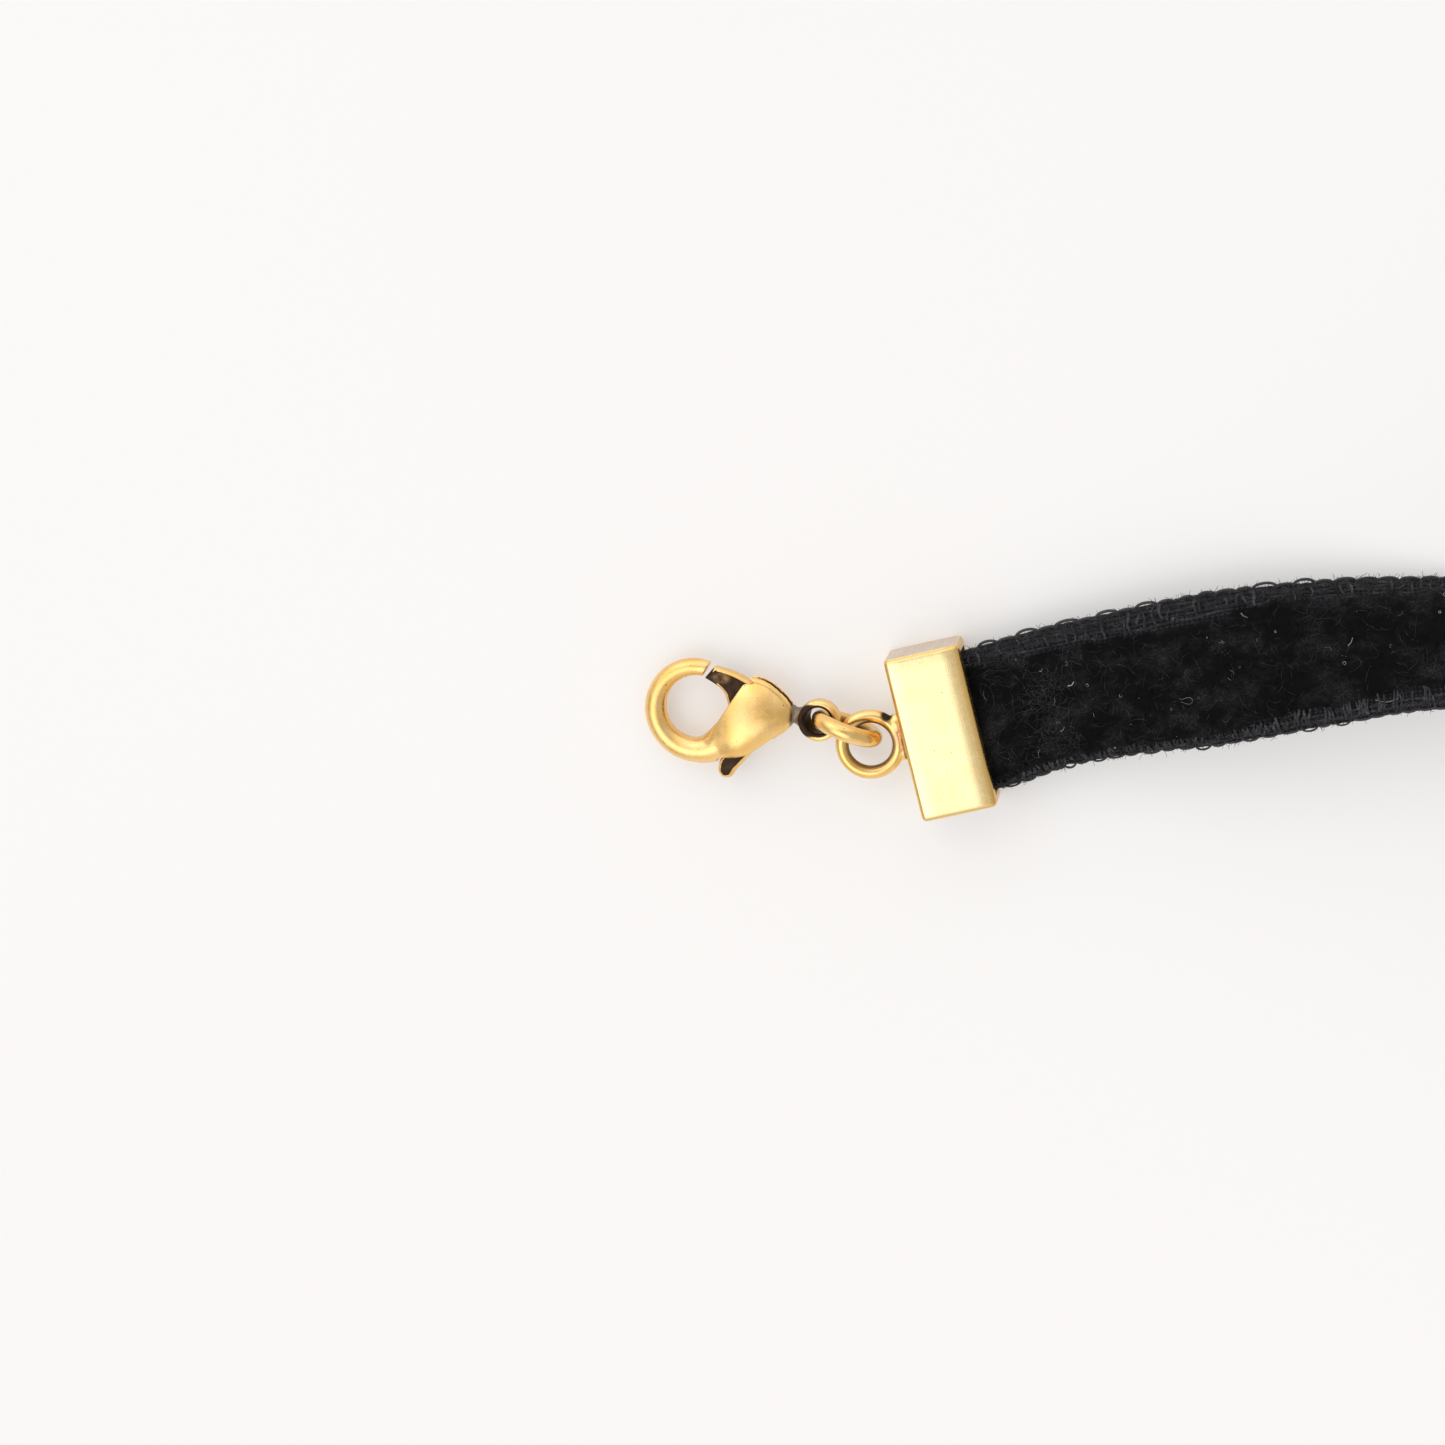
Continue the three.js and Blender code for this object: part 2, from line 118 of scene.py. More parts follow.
def set_vector(obj, name, values):
    attribute = obj.data.attributes.new(name, "FLOAT_VECTOR", "POINT")
    attribute.data.foreach_set("vector", np.asarray(values, np.float32).ravel())


def around(count):
    """Angles evenly spread round a circle."""
    return 2 * np.pi * np.arange(count) / count


def unit(vectors):
    return vectors / np.linalg.norm(vectors, axis=1)[:, None]


def smoothstep(low, high, x):
    t = np.clip((x - low) / (high - low), 0, 1)
    return t * t * (3 - 2 * t)


def lattice_noise(x, y, seed):
    """Smooth noise from -1 to 1 at points x, y, with one hill or hollow to each unit."""
    x, y = np.broadcast_arrays(np.asarray(x, float), np.asarray(y, float))
    x0, y0 = np.floor(x).astype(np.int64), np.floor(y).astype(np.int64)
    fx, fy = x - x0, y - y0
    fx, fy = fx * fx * (3 - 2 * fx), fy * fy * (3 - 2 * fy)

    def corner(i, j):
        h = (i * 374761393 + j * 668265263 + seed * 2147483647) & 0xFFFFFFFF
        h = ((h ^ (h >> 13)) * 1274126177) & 0xFFFFFFFF
        h = ((h ^ (h >> 16)) * 2246822519) & 0xFFFFFFFF
        return (h ^ (h >> 15)) / 0xFFFFFFFF * 2 - 1

    low = corner(x0, y0) * (1 - fx) + corner(x0 + 1, y0) * fx
    high = corner(x0, y0 + 1) * (1 - fx) + corner(x0 + 1, y0 + 1) * fx
    return low * (1 - fy) + high * fy


def ring_faces(rings, count, closed):
    """Quads between rings of count points each, and a flat end on each end of an open tube."""
    faces = []
    for i in range(rings if closed else rings - 1):
        k = (i + 1) % rings
        for j in range(count):
            m = (j + 1) % count
            faces.append((i * count + j, i * count + m, k * count + m, k * count + j))
    if not closed:
        faces.append(tuple(range(count - 1, -1, -1)))
        faces.append(tuple((rings - 1) * count + j for j in range(count)))
    return faces


def sweep(points, radius, sides, closed=False, side_hint=(0, 0, 1), squash=1.0):
    """Points and faces of a tube along points. radius is one number or one for each point."""
    p = np.asarray(points, float)
    r = np.broadcast_to(np.asarray(radius, float), (len(p),))
    if closed:
        t = np.roll(p, -1, 0) - np.roll(p, 1, 0)
    else:
        t = np.gradient(p, axis=0)
    t = unit(t)
    hint = np.broadcast_to(np.asarray(side_hint, float), p.shape)
    a = np.cross(hint, t)
    a /= np.maximum(np.linalg.norm(a, axis=1)[:, None], 1e-9)
    b = np.cross(t, a)
    angle = around(sides)
    ring = (
        p[:, None]
        + (r[:, None] * np.cos(angle))[..., None] * a[:, None]
        + (r[:, None] * squash * np.sin(angle))[..., None] * b[:, None]
    )
    return ring.reshape(-1, 3), ring_faces(len(p), sides, closed)


def join_parts(parts):
    verts, faces, start = [], [], 0
    for v, f in parts:
        verts.append(np.asarray(v))
        faces += [tuple(i + start for i in face) for face in f]
        start += len(v)
    return np.concatenate(verts), faces


def apply_modifiers(obj):
    graph = bpy.context.evaluated_depsgraph_get()
    mesh = bpy.data.meshes.new_from_object(obj.evaluated_get(graph))
    old = obj.data
    obj.modifiers.clear()
    obj.data = mesh
    bpy.data.meshes.remove(old)


def boolean(obj, operation, *solids):
    """Joins closed solids, each given as points and faces, to an object or cuts them out of it."""
    for solid in solids:
        other = new_object("tool", *solid)
        m = obj.modifiers.new("cut", "BOOLEAN")
        m.operation = operation
        m.solver = "EXACT"
        m.object = other
        apply_modifiers(obj)
        bpy.data.objects.remove(other)


# Voxel sizes in millimetres.
CAP_VOXEL = 0.085
CASTING_VOXEL = 0.06
LEVER_VOXEL = 0.045


def remesh(obj, voxel, smoothing, factor):
    m = obj.modifiers.new("remesh", "REMESH")
    m.mode = "VOXEL"
    m.voxel_size = voxel
    apply_modifiers(obj)
    m = obj.modifiers.new("smooth", "SMOOTH")
    m.factor = factor
    m.iterations = smoothing
    apply_modifiers(obj)
    obj.data.shade_smooth()


def double_area(p):
    """Twice the area of an outline, negative when it runs clockwise."""
    ahead = np.roll(p, -1, 0)
    return np.sum(p[:, 0] * ahead[:, 1] - p[:, 1] * ahead[:, 0])


def right_of(way):
    """Unit vectors a quarter turn to the right of plane vectors."""
    return unit(np.stack([way[:, 1], -way[:, 0]], 1))


def prism(points, height, grow=0.0):
    """An upright solid on an outline, its middle at z = 0, its sides moved outwards by grow."""
    p = np.asarray(points, float)
    if double_area(p) < 0:
        p = p[::-1]
    if grow:
        out = right_of(np.roll(p, -1, 0) - p)
        away = out + np.roll(out, 1, 0)
        away /= np.maximum(np.linalg.norm(away, axis=1)[:, None], 0.3)
        p = p + grow * away
    n = len(p)
    low = np.column_stack([p, np.full(n, -height / 2)])
    high = np.column_stack([p, np.full(n, height / 2)])
    faces = [(i, (i + 1) % n, n + (i + 1) % n, n + i) for i in range(n)]
    faces.append(tuple(range(n - 1, -1, -1)))
    faces.append(tuple(range(n, 2 * n)))
    return np.concatenate([low, high]), faces


def cylinder(radius, height, at=(0, 0, 0), sides=48):
    angle = around(sides)
    outline = np.stack([radius * np.cos(angle), radius * np.sin(angle)], 1)
    v, f = prism(outline, height)
    return v + np.asarray(at, float), f


def spline(points, count):
    """A uniform Catmull-Rom curve through points."""
    p = np.asarray(points, float)
    p = np.concatenate([p[:1], p, p[-1:]])
    out = []
    spans = len(p) - 3
    for u in np.linspace(0, spans, count):
        i = min(int(u), spans - 1)
        t = u - i
        a, b, c, d = p[i : i + 4]
        out.append(
            b
            + 0.5 * t * (c - a)
            + t * t * (a - 2.5 * b + 2 * c - 0.5 * d)
            + t * t * t * (1.5 * b - 0.5 * a - 1.5 * c + 0.5 * d)
        )
    return np.array(out)


def shade_recesses(obj, reach, rays=20):
    """A 'recess' attribute: how much of the space round each point the piece itself closes off."""
    tree = bvhtree.BVHTree.FromObject(obj, bpy.context.evaluated_depsgraph_get())
    co, no = coords(obj), normals(obj)
    k = np.arange(rays) + 0.5
    up = 1 - 0.92 * k / rays
    spin = np.pi * (1 + 5**0.5) * k
    flat = np.sqrt(1 - up * up)
    x, y = flat * np.cos(spin), flat * np.sin(spin)
    aside = unit(np.cross(no, np.where(np.abs(no[:, 2:]) < 0.9, (0, 0, 1), (1, 0, 0))))
    other = np.cross(no, aside)
    start = co + no * 0.02
    closed = np.zeros(len(co))
    for i in range(rays):
        ray = x[i] * aside + y[i] * other + up[i] * no
        for v in range(len(co)):
            if tree.ray_cast(start[v], ray[v], reach)[0] is not None:
                closed[v] += 1
    set_float(obj, "recess", closed / rays)


# ---------- materials ----------
class Nodes:
    """Short names for building the nodes of one material, or of the world."""

    def __init__(self, owner, shader):
        owner.use_nodes = True
        self.material = owner
        self.tree = owner.node_tree
        self.shader = self.tree.nodes[shader]

    def add(self, kind, **values):
        node = self.tree.nodes.new("ShaderNode" + kind)
        for key, value in values.items():
            if hasattr(node, key):
                setattr(node, key, value)
            else:
                self.put(value, node.inputs[key.replace("_", " ")])
        return node

    def put(self, value, socket):
        if isinstance(value, bpy.types.NodeSocket):
            self.tree.links.new(value, socket)
        else:
            socket.default_value = value

    def set(self, socket, value):
        self.put(value, self.shader.inputs[socket])

    def factor(self, name):
        return self.add("Attribute", attribute_name=name).outputs["Fac"]

    def vector(self, name):
        return self.add("Attribute", attribute_name=name).outputs["Vector"]

    def scaled(self, vector, scale):
        node = self.add("VectorMath", operation="MULTIPLY")
        self.put(vector, node.inputs[0])
        node.inputs[1].default_value = scale
        return node.outputs[0]

    def noise(self, vector, scale, detail=3.0, roughness=0.55):
        node = self.add("TexNoise", Scale=scale, Detail=detail, Roughness=roughness)
        self.put(vector, node.inputs["Vector"])
        return node.outputs["Fac"]

    def ramp(self, value, low, high, out_low=0.0, out_high=1.0):
        node = self.add("MapRange", interpolation_type="SMOOTHSTEP")
        self.put(value, node.inputs["Value"])
        sockets = ("From Min", "From Max", "To Min", "To Max")
        for socket, number in zip(sockets, (low, high, out_low, out_high)):
            node.inputs[socket].default_value = number
        return node.outputs[0]

    def mix(self, factor, a, b):
        node = self.add("Mix", data_type="RGBA")
        self.put(factor, node.inputs[0])
        for colour, socket in ((a, node.inputs[6]), (b, node.inputs[7])):
            self.put(colour if isinstance(colour, bpy.types.NodeSocket) else (*colour, 1), socket)
        return node.outputs[2]

    def math(self, operation, a, b=0.0):
        node = self.add("Math", operation=operation)
        self.put(a, node.inputs[0])
        self.put(b, node.inputs[1])
        return node.outputs[0]

    def bump(self, height, distance, strength=1.0, normal=None):
        node = self.add("Bump", Strength=strength, Distance=distance)
        self.put(height, node.inputs["Height"])
        if normal is not None:
            self.put(normal, node.inputs["Normal"])
        return node.outputs[0]


def new_material(name):
    return Nodes(bpy.data.materials.new(name), "Principled BSDF")


GOLD_LIGHT = (0.97, 0.66, 0.28)
GOLD = (0.91, 0.56, 0.18)
GOLD_BROWN = (0.45, 0.21, 0.05)
CAP_LIGHT = (0.98, 0.83, 0.47)
CAP_TONE = (0.98, 0.79, 0.41)
CAP_EDGE = (0.78, 0.45, 0.11)
PATINA = (0.045, 0.028, 0.019)
PATINA_RUB = (0.34, 0.20, 0.09)
WORN_GREY = (0.25, 0.195, 0.145)
SOLDER = (0.70, 0.39, 0.22)
CAP_SIDE_PAINTED_REFLECTION = (0.62, 0.50, 0.44)
CAP_SIDE_WORN_REFLECTION = (0.72, 0.62, 0.55)
LEVER_BROWN = (0.075, 0.045, 0.03)


def gold(
    name, cap=False, stain_and_shade=False, pitted=1.0, grainy=0.6, dullness=0.2, tones=(GOLD, GOLD_LIGHT)
):
    """Satin antique gold plate: cloudy tone, brown in recesses, pin holes and fine scratches."""
    n = new_material(name)
    n.set("Metallic", 1.0)
    place = n.vector("place")
    cloud = n.noise(place, 0.55, 4.0)
    speck = n.noise(place, 9.0, 2.0, 0.6)
    colour = n.mix(n.ramp(cloud, 0.35, 0.68), *tones)
    colour = n.mix(n.ramp(speck, 0.58, 0.80, 0.0, 0.22), colour, GOLD_BROWN)
    recess = n.factor("recess")
    ragged = n.math("ADD", recess, n.ramp(n.noise(place, 3.0, 4.0), 0.3, 0.7, -0.05, 0.05))
    colour = n.mix(n.ramp(ragged, 0.40, 0.66, 0.0, 0.7), colour, GOLD_BROWN)
    colour = n.mix(n.ramp(ragged, 0.62, 0.84, 0.0, 0.95), colour, PATINA)
    rough = n.ramp(n.noise(place, 2.2, 5.0, 0.65), 0.3, 0.75, dullness, dullness + 0.13)
    pit = n.noise(place, 5.5, 1.0, 0.4)
    hole = n.ramp(pit, 0.765, 0.80, 0.0, pitted)
    colour = n.mix(hole, colour, PATINA)
    if cap:
        colour = n.mix(n.factor("worn"), colour, CAP_EDGE)
        # The side faces are painted a pale pinkish grey with lighter streaks: partly worn plating,
        # partly a painted reflection of the pale table and room.
        side_reflection_mask = n.math("MULTIPLY", n.factor("side"), 0.85)
        streak = n.noise(n.scaled(place, (9.0, 9.0, 0.6)), 1.0, 3.0)
        worn = n.mix(n.ramp(streak, 0.35, 0.7), CAP_SIDE_PAINTED_REFLECTION, CAP_SIDE_WORN_REFLECTION)
        colour = n.mix(side_reflection_mask, colour, worn)
        rough = n.math("ADD", rough, n.math("MULTIPLY", side_reflection_mask, 0.12))
    if stain_and_shade:
        # Its x is dark patina and, in places, painted shade; y is red solder; z is worn grey.
        spot = n.vector("stain_and_shade")
        split = n.add("SeparateXYZ")
        n.put(spot, split.inputs[0])
        colour = n.mix(split.outputs[0], colour, PATINA)
        colour = n.mix(split.outputs[1], colour, SOLDER)
        colour = n.mix(split.outputs[2], colour, WORN_GREY)
        dull = n.math("ADD", split.outputs[0], split.outputs[2])
        rough = n.math("ADD", rough, n.math("MULTIPLY", dull, 0.18))
    n.set("Base Color", colour)
    n.set("Roughness", rough)
    grain = n.noise(place, 26.0, 3.0, 0.7)
    normal = n.bump(grain, 0.012 * MM, grainy)
    if cap:
        lines = n.noise(n.scaled(place, (14.0, 0.9, 14.0)), 1.0, 4.0, 0.6)
        normal = n.bump(lines, 0.02 * MM, 0.3, normal)
    normal = n.bump(n.math("SUBTRACT", 1.0, hole), 0.05 * MM, 0.8, normal)
    n.set("Normal", normal)
    return n.material


def lever_finish():
    """Dark brown patina on the flats, gold showing where the edges are rubbed."""
    n = new_material("dark_patina")
    n.set("Metallic", 1.0)
    place = n.vector("place")
    rim = n.factor("rim")
    cloud = n.noise(place, 1.6, 4.0)
    flat = n.mix(n.ramp(cloud, 0.40, 0.72), PATINA, LEVER_BROWN)
    patchy = n.ramp(n.noise(place, 2.4, 4.0), 0.3, 0.62)
    rub = n.math("MULTIPLY", n.factor("rub"), patchy)
    flat = n.mix(rub, flat, PATINA_RUB)
    ragged = n.math("ADD", rim, n.ramp(n.noise(place, 5.0, 3.0), 0.25, 0.75, -0.22, 0.22))
    edge = n.ramp(ragged, 0.42, 0.62)
    bright = n.mix(n.ramp(n.noise(place, 1.2, 3.0), 0.3, 0.7), GOLD, GOLD_LIGHT)
    n.set("Base Color", n.mix(edge, flat, bright))
    n.set("Roughness", n.ramp(edge, 0.0, 1.0, 0.52, 0.26))
    n.set("Normal", n.bump(n.noise(place, 14.0, 3.0, 0.7), 0.02 * MM, 0.8))
    return n.material


def cloudy(name, scale, detail, span, colours, roughness):
    """A plain material with a cloud of tone over it, and of roughness if that has two values."""
    n = new_material(name)
    where = n.add("TexCoord").outputs["Object"]
    cloud = n.noise(n.scaled(where, scale), 1.0, detail)
    n.set("Base Color", n.mix(n.ramp(cloud, *span), *colours))
    n.set("Roughness", n.ramp(cloud, *span, *roughness) if len(roughness) > 1 else roughness[0])
    return n


def steel_finish():
    colours = ((0.30, 0.29, 0.28), (0.5, 0.49, 0.47))
    n = cloudy("plain_steel", (4000.0, 4000.0, 600.0), 3.0, (0.3, 0.7), colours, (0.28, 0.5))
    n.set("Metallic", 1.0)
    return n.material


def glue_finish():
    colours = ((0.48, 0.40, 0.22), (0.68, 0.60, 0.38))
    return cloudy("yellowed_glue", (900.0,) * 3, 3.0, (0.3, 0.7), colours, (0.12, 0.3)).material


def lint_finish():
    colours = ((0.10, 0.10, 0.105), (0.62, 0.61, 0.60))
    return cloudy("grey_lint", (250.0,) * 3, 3.0, (0.4, 0.62), colours, (0.6,)).material


def velvet_finish():
    """Black pile with cloudy lay marks, and the woven back where the pile ends."""
    n = new_material("black_velvet")
    cloth = n.vector("cloth")
    cloud = n.noise(n.scaled(cloth, (0.30, 0.42, 0.0)), 1.0, 7.0, 0.74)
    fine = n.noise(n.scaled(cloth, (7.5, 6.0, 0.0)), 1.0, 3.0, 0.7)
    lay = n.math("MULTIPLY", n.ramp(cloud, 0.44, 0.72), n.ramp(fine, 0.30, 0.70))
    pile = n.mix(lay, (0.0016, 0.0015, 0.0018), (0.038, 0.037, 0.041))
    threads = []
    for way, scale, wander in (("X", 0.9, 1.5), ("Y", 1.3, 0.8)):
        wave = n.add("TexWave", bands_direction=way, Scale=scale, Distortion=wander)
        n.put(n.scaled(cloth, (1.0, 1.0, 0.0)), wave.inputs["Vector"])
        threads.append(wave.outputs["Fac"])
    weave = n.math("MULTIPLY", *threads)
    back = n.mix(weave, (0.010, 0.0095, 0.012), (0.055, 0.052, 0.060))
    bare = n.factor("bare")
    n.set("Base Color", n.mix(bare, pile, back))
    n.set("Roughness", 0.85)
    n.set("Specular IOR Level", 0.12)
    n.set("Sheen Weight", 0.12)
    n.set("Sheen Roughness", 0.35)
    n.set("Sheen Tint", (0.55, 0.55, 0.62, 1))
    height = n.math("ADD", fine, n.math("MULTIPLY", n.math("MULTIPLY", weave, bare), 1.5))
    n.set("Normal", n.bump(height, 0.12 * MM, 0.6))
    return n.material


def yarn_finish(name, dark, light, shine=0.35):
    """Fine filament yarn: lighter along the strands, with a slight lustre."""
    n = new_material(name)
    cloth = n.vector("cloth")
    strand = n.noise(n.scaled(cloth, (8.0, 4.5, 8.0)), 1.0, 4.0, 0.7)
    patch = n.noise(n.scaled(cloth, (1.1, 1.5, 0.7)), 1.0, 4.0, 0.65)
    tone = n.math("MULTIPLY", n.ramp(strand, 0.35, 0.72), n.ramp(patch, 0.34, 0.66, 0.15, 1.0))
    n.set("Base Color", n.mix(tone, dark, light))
    n.set("Roughness", n.ramp(strand, 0.3, 0.7, 0.42, 0.7))
    n.set("Specular IOR Level", shine)
    n.set("Sheen Weight", 0.15)
    n.set("Sheen Roughness", 0.4)
    n.set("Normal", n.bump(strand, 0.06 * MM, 0.8))
    return n.material


TABLE_GLOW = 0.31  # a light table: some of its brightness comes up through it


def table_finish():
    colours = ((0.635, 0.625, 0.617), (0.655, 0.645, 0.637))
    n = cloudy("pale_table", (4.0,) * 3, 2.0, (0.2, 0.8), colours, (0.75,))
    n.set("Specular IOR Level", 0.25)
    n.set("Emission Color", (1.0, 0.985, 0.98, 1))
    n.set("Emission Strength", TABLE_GLOW)
    return n.material


GOLD_CAST = gold("cast_gold", stain_and_shade=True)
GOLD_WIRE = gold("wire_gold", stain_and_shade=True, pitted=0.6, grainy=0.4, dullness=0.14)
GOLD_CAP = gold("cap_gold", cap=True, pitted=0.5, grainy=0.3, tones=(CAP_TONE, CAP_LIGHT))
LEVER_METAL = lever_finish()
STEEL = steel_finish()
GLUE = glue_finish()
VELVET = velvet_finish()
YARN = yarn_finish("selvedge_yarn", (0.005, 0.005, 0.006), (0.098, 0.092, 0.108))
FUZZ = yarn_finish("loose_fibres", (0.007, 0.007, 0.009), (0.10, 0.095, 0.108))
LOOP_YARN = yarn_finish("loop_yarn", (0.003, 0.003, 0.004), (0.022, 0.022, 0.026), shine=0.8)
LINT = lint_finish()


def place_piece(obj, matrix, body, material, replaced=(), local=True):
    """Puts a piece made in millimetres into the frame, gives it its material and body, and hides the
    CAD parts it replaces.
    """
    if local:
        set_vector(obj, "place", coords(obj))
    obj.data.transform(matrix)
    obj.data.materials.clear()
    obj.data.materials.append(material)
    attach(obj, body)
    if replaced:
        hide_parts(*replaced)
    return obj


# ---------- ribbon ----------
# The ribbon's centre line: x, y, z, and roll in degrees, as in the CAD source.
RIBBON_ROUTE = [
    (13.9, -0.32, 2.0, 0),
    (17.9, 0.72, 2.0, 0),
    (23.2, 2.3, 2.4, -1),
    (28.5, 3.7, 3.2, -5),
    (34.0, 4.9, 3.9, -11),
    (39.5, 5.95, 4.1, -17),
    (45.0, 6.8, 3.9, -25),
    (50.5, 7.3, 3.8, -35),
    (57.5, 7.8, 4.25, -52),
    (65.5, 8.1, 4.85, -70),
    (75.0, 8.1, 5.1, -84),
    (86.0, 8.2, 5.1, -90),
    (97.0, 8.2, 5.1, -90),
    (108.0, 7.0, 5.1, -90),
    (119.0, 3.8, 5.1, -90),
    (129.0, -2.0, 5.1, -90),
    (137.0, -10.5, 5.1, -90),
    (142.5, -21.0, 5.1, -90),
    (145.0, -32.5, 5.1, -90),
    (144.3, -44.0, 5.1, -90),
    (140.0, -55.0, 5.1, -90),
    (132.5, -63.8, 5.1, -90),
    (122.5, -69.5, 5.1, -90),
    (111.5, -72.0, 5.1, -90),
    (100.5, -72.3, 5.1, -88),
    (90.0, -70.6, 5.05, -76),
    (81.0, -66.6, 4.6, -57),
    (74.3, -60.2, 3.7, -35),
    (70.8, -52.5, 2.75, -15),
    (69.1, -46.6, 2.15, -3),
    (68.44, -42.68, 2.0, 0),
    (68.0, -38.5, 2.0, 0),
]
RIBBON_WIDTH = 10.0
ROLL_TENSION = 0.3


def hermite(a, b, ta, tb, t):
    return (
        a
        + ta * t
        + (-3 * a + 3 * b - 2 * ta - tb) * t**2
        + (2 * a - 2 * b + ta + tb) * t**3
    )


class Ribbon:
    """The centre line and frames of the ribbon, by the distance s along it in millimetres."""

    def __init__(self, route, per_span=60):
        p = np.array([r[:3] for r in route], float)
        roll = np.array([r[3] for r in route], float)
        p = np.concatenate([[2 * p[0] - p[1]], p, [2 * p[-1] - p[-2]]])
        roll = np.concatenate([[2 * roll[0] - roll[1]], roll, [2 * roll[-1] - roll[-2]]])
        points, rolls = [], []
        for i in range(len(route) - 1):
            a, b, c, d = p[i : i + 4]
            d0, d1, d2 = (np.linalg.norm(y - x) ** 0.5 for x, y in ((a, b), (b, c), (c, d)))
            tb = ((b - a) / d0 - (c - a) / (d0 + d1) + (c - b) / d1) * d1
            tc = ((c - b) / d1 - (d - b) / (d1 + d2) + (d - c) / d2) * d1
            ra, rb, rc, rd = roll[i : i + 4]
            last = i == len(route) - 2
            for t in np.linspace(0, 1, per_span + 1)[: None if last else -1]:
                points.append(hermite(b, c, tb, tc, t))
                rolls.append(
                    hermite(rb, rc, ROLL_TENSION * (rc - ra), ROLL_TENSION * (rd - rb), t)
                )
        self.points = np.array(points)
        step = np.linalg.norm(np.diff(self.points, axis=0), axis=1)
        self.at = np.concatenate([[0], np.cumsum(step)])
        self.length = self.at[-1]
        tangent = unit(np.gradient(self.points, self.at, axis=0))
        left = unit(np.cross((0, 0, 1), tangent))
        normal = np.cross(tangent, left)
        angle = np.radians(np.array(rolls))[:, None]
        self.across = left * np.cos(angle) + normal * np.sin(angle)
        self.face = normal * np.cos(angle) - left * np.sin(angle)

    def frames(self, s):
        out = []
        for column in (self.points, self.across, self.face):
            out.append(np.stack([np.interp(s, self.at, column[:, k]) for k in range(3)], -1))
        return out

    def place(self, s, v, n):
        """Table-frame points for distances along, across and out of the ribbon."""
        s, v, n = np.broadcast_arrays(*(np.asarray(a, float) for a in (s, v, n)))
        p, a, f = self.frames(s.ravel())
        return p + v.ravel()[:, None] * a + n.ravel()[:, None] * f


ribbon = Ribbon(RIBBON_ROUTE)

# How far the woven edges stand in or out of the nominal width along the visible stretch.
EDGE_AT = (0, 4.3, 6.0, 9.0, 13.0, 21.0, 28.0, 34.0, 42.0, 60.0)
FAR_EDGE = (0.0, 0.0, 0.0, 0.05, 0.1, 0.35, 0.1, -0.2, -0.2, 0.0)
NEAR_EDGE = (0.0, 0.0, -0.1, -0.45, -0.3, -0.05, -0.2, -0.4, -0.2, 0.0)


def far_edge(s):
    wander = 0.07 * lattice_noise(np.asarray(s) / 3.1, 0.5, 11)
    return RIBBON_WIDTH / 2 + np.interp(s, EDGE_AT, FAR_EDGE) + wander


def near_edge(s):
    wander = 0.06 * lattice_noise(np.asarray(s) / 2.7, 0.5, 12)
    return -(RIBBON_WIDTH / 2 + np.interp(s, EDGE_AT, NEAR_EDGE)) + wander


def edge_at(side, s):
    """Where the woven edge is: side is 1 for the far one, -1 for the near one."""
    return far_edge(s) if side > 0 else near_edge(s)


PILE_HEIGHT = 0.62
BASE_TOP = -0.05
BASE_BOTTOM = -0.5
# Width of the bare selvedge beyond the pile, on each side, at distances along the ribbon.
BAND_AT = (0, 8, 14, 20, 28, 40)
FAR_BAND = (1.1, 1.35, 1.8, 1.7, 1.15, 1.15)
NEAR_BAND = (0.6, 0.65, 0.5, 0.7, 1.2, 1.5)


def band_at(side, s):
    return np.interp(s, BAND_AT, FAR_BAND if side > 0 else NEAR_BAND)


def pile_rise(s, v):
    """From 0 on the bare selvedge to 1 on the pile, with a ragged border between them."""
    rag = 0.22 * lattice_noise(s / 0.55, 3.5, 21) + 0.20 * lattice_noise(s / 2.3, 7.5, 22)
    far = far_edge(s) - band_at(1, s) + rag
    near = near_edge(s) + band_at(-1, s) + 0.8 * rag
    return smoothstep(near - 0.15, near + 0.35, v) * (1 - smoothstep(far - 0.55, far + 0.25, v))


def pile_surface(s, v):
    """The height of the pile out of the ribbon's centre, and how full the pile is, 0 to 1."""
    clump = lattice_noise(s / 0.45, v / 0.38, 31) + 0.8 * lattice_noise(s / 0.23, v / 0.26, 32)
    swell = lattice_noise(s / 4.0, v / 2.6, 33)
    rise = pile_rise(s, v)
    return BASE_TOP + rise * (PILE_HEIGHT + 0.035 * clump + 0.06 * swell), rise


def pile_top(s, v):
    return float(pile_surface(np.array(s), np.array(v))[0])


def above_table(points):
    return np.column_stack([points[:, :2], np.maximum(points[:, 2], 0.01)])


def ribbon_ground():
    """The woven ground and the dense pile on it, as one closed strip."""
    step, columns, under = 0.25, 44, 9
    rings = int(ribbon.length / step) + 1
    s = np.linspace(0, ribbon.length, rings)[:, None]
    lo, hi = near_edge(s) + 0.12, far_edge(s) - 0.12
    t = np.linspace(0, 1, columns)[None]
    v_top = hi + (lo - hi) * t
    n_top, rise = pile_surface(s, v_top)
    n_top = np.where(s < 4.6, np.minimum(n_top, 0.9), n_top)
    u = np.linspace(0, 1, under)[None]
    v_low = lo + (hi - lo) * u
    n_low = BASE_BOTTOM + 0.02 * lattice_noise(s / 0.8, v_low / 0.8, 34)
    v = np.concatenate([v_top, v_low], 1)
    n = np.concatenate([n_top, n_low], 1)
    bare = np.concatenate([1 - rise, np.ones_like(v_low)], 1)
    full = np.broadcast_to(s, v.shape)
    count = columns + under
    faces = ring_faces(rings, count, False)
    obj = new_object("velvet_ground", above_table(ribbon.place(full, v, n)), faces)
    set_vector(obj, "cloth", np.stack([full, v, n], -1).reshape(-1, 3))
    set_float(obj, "bare", smoothstep(0.55, 0.95, bare).ravel())
    return obj


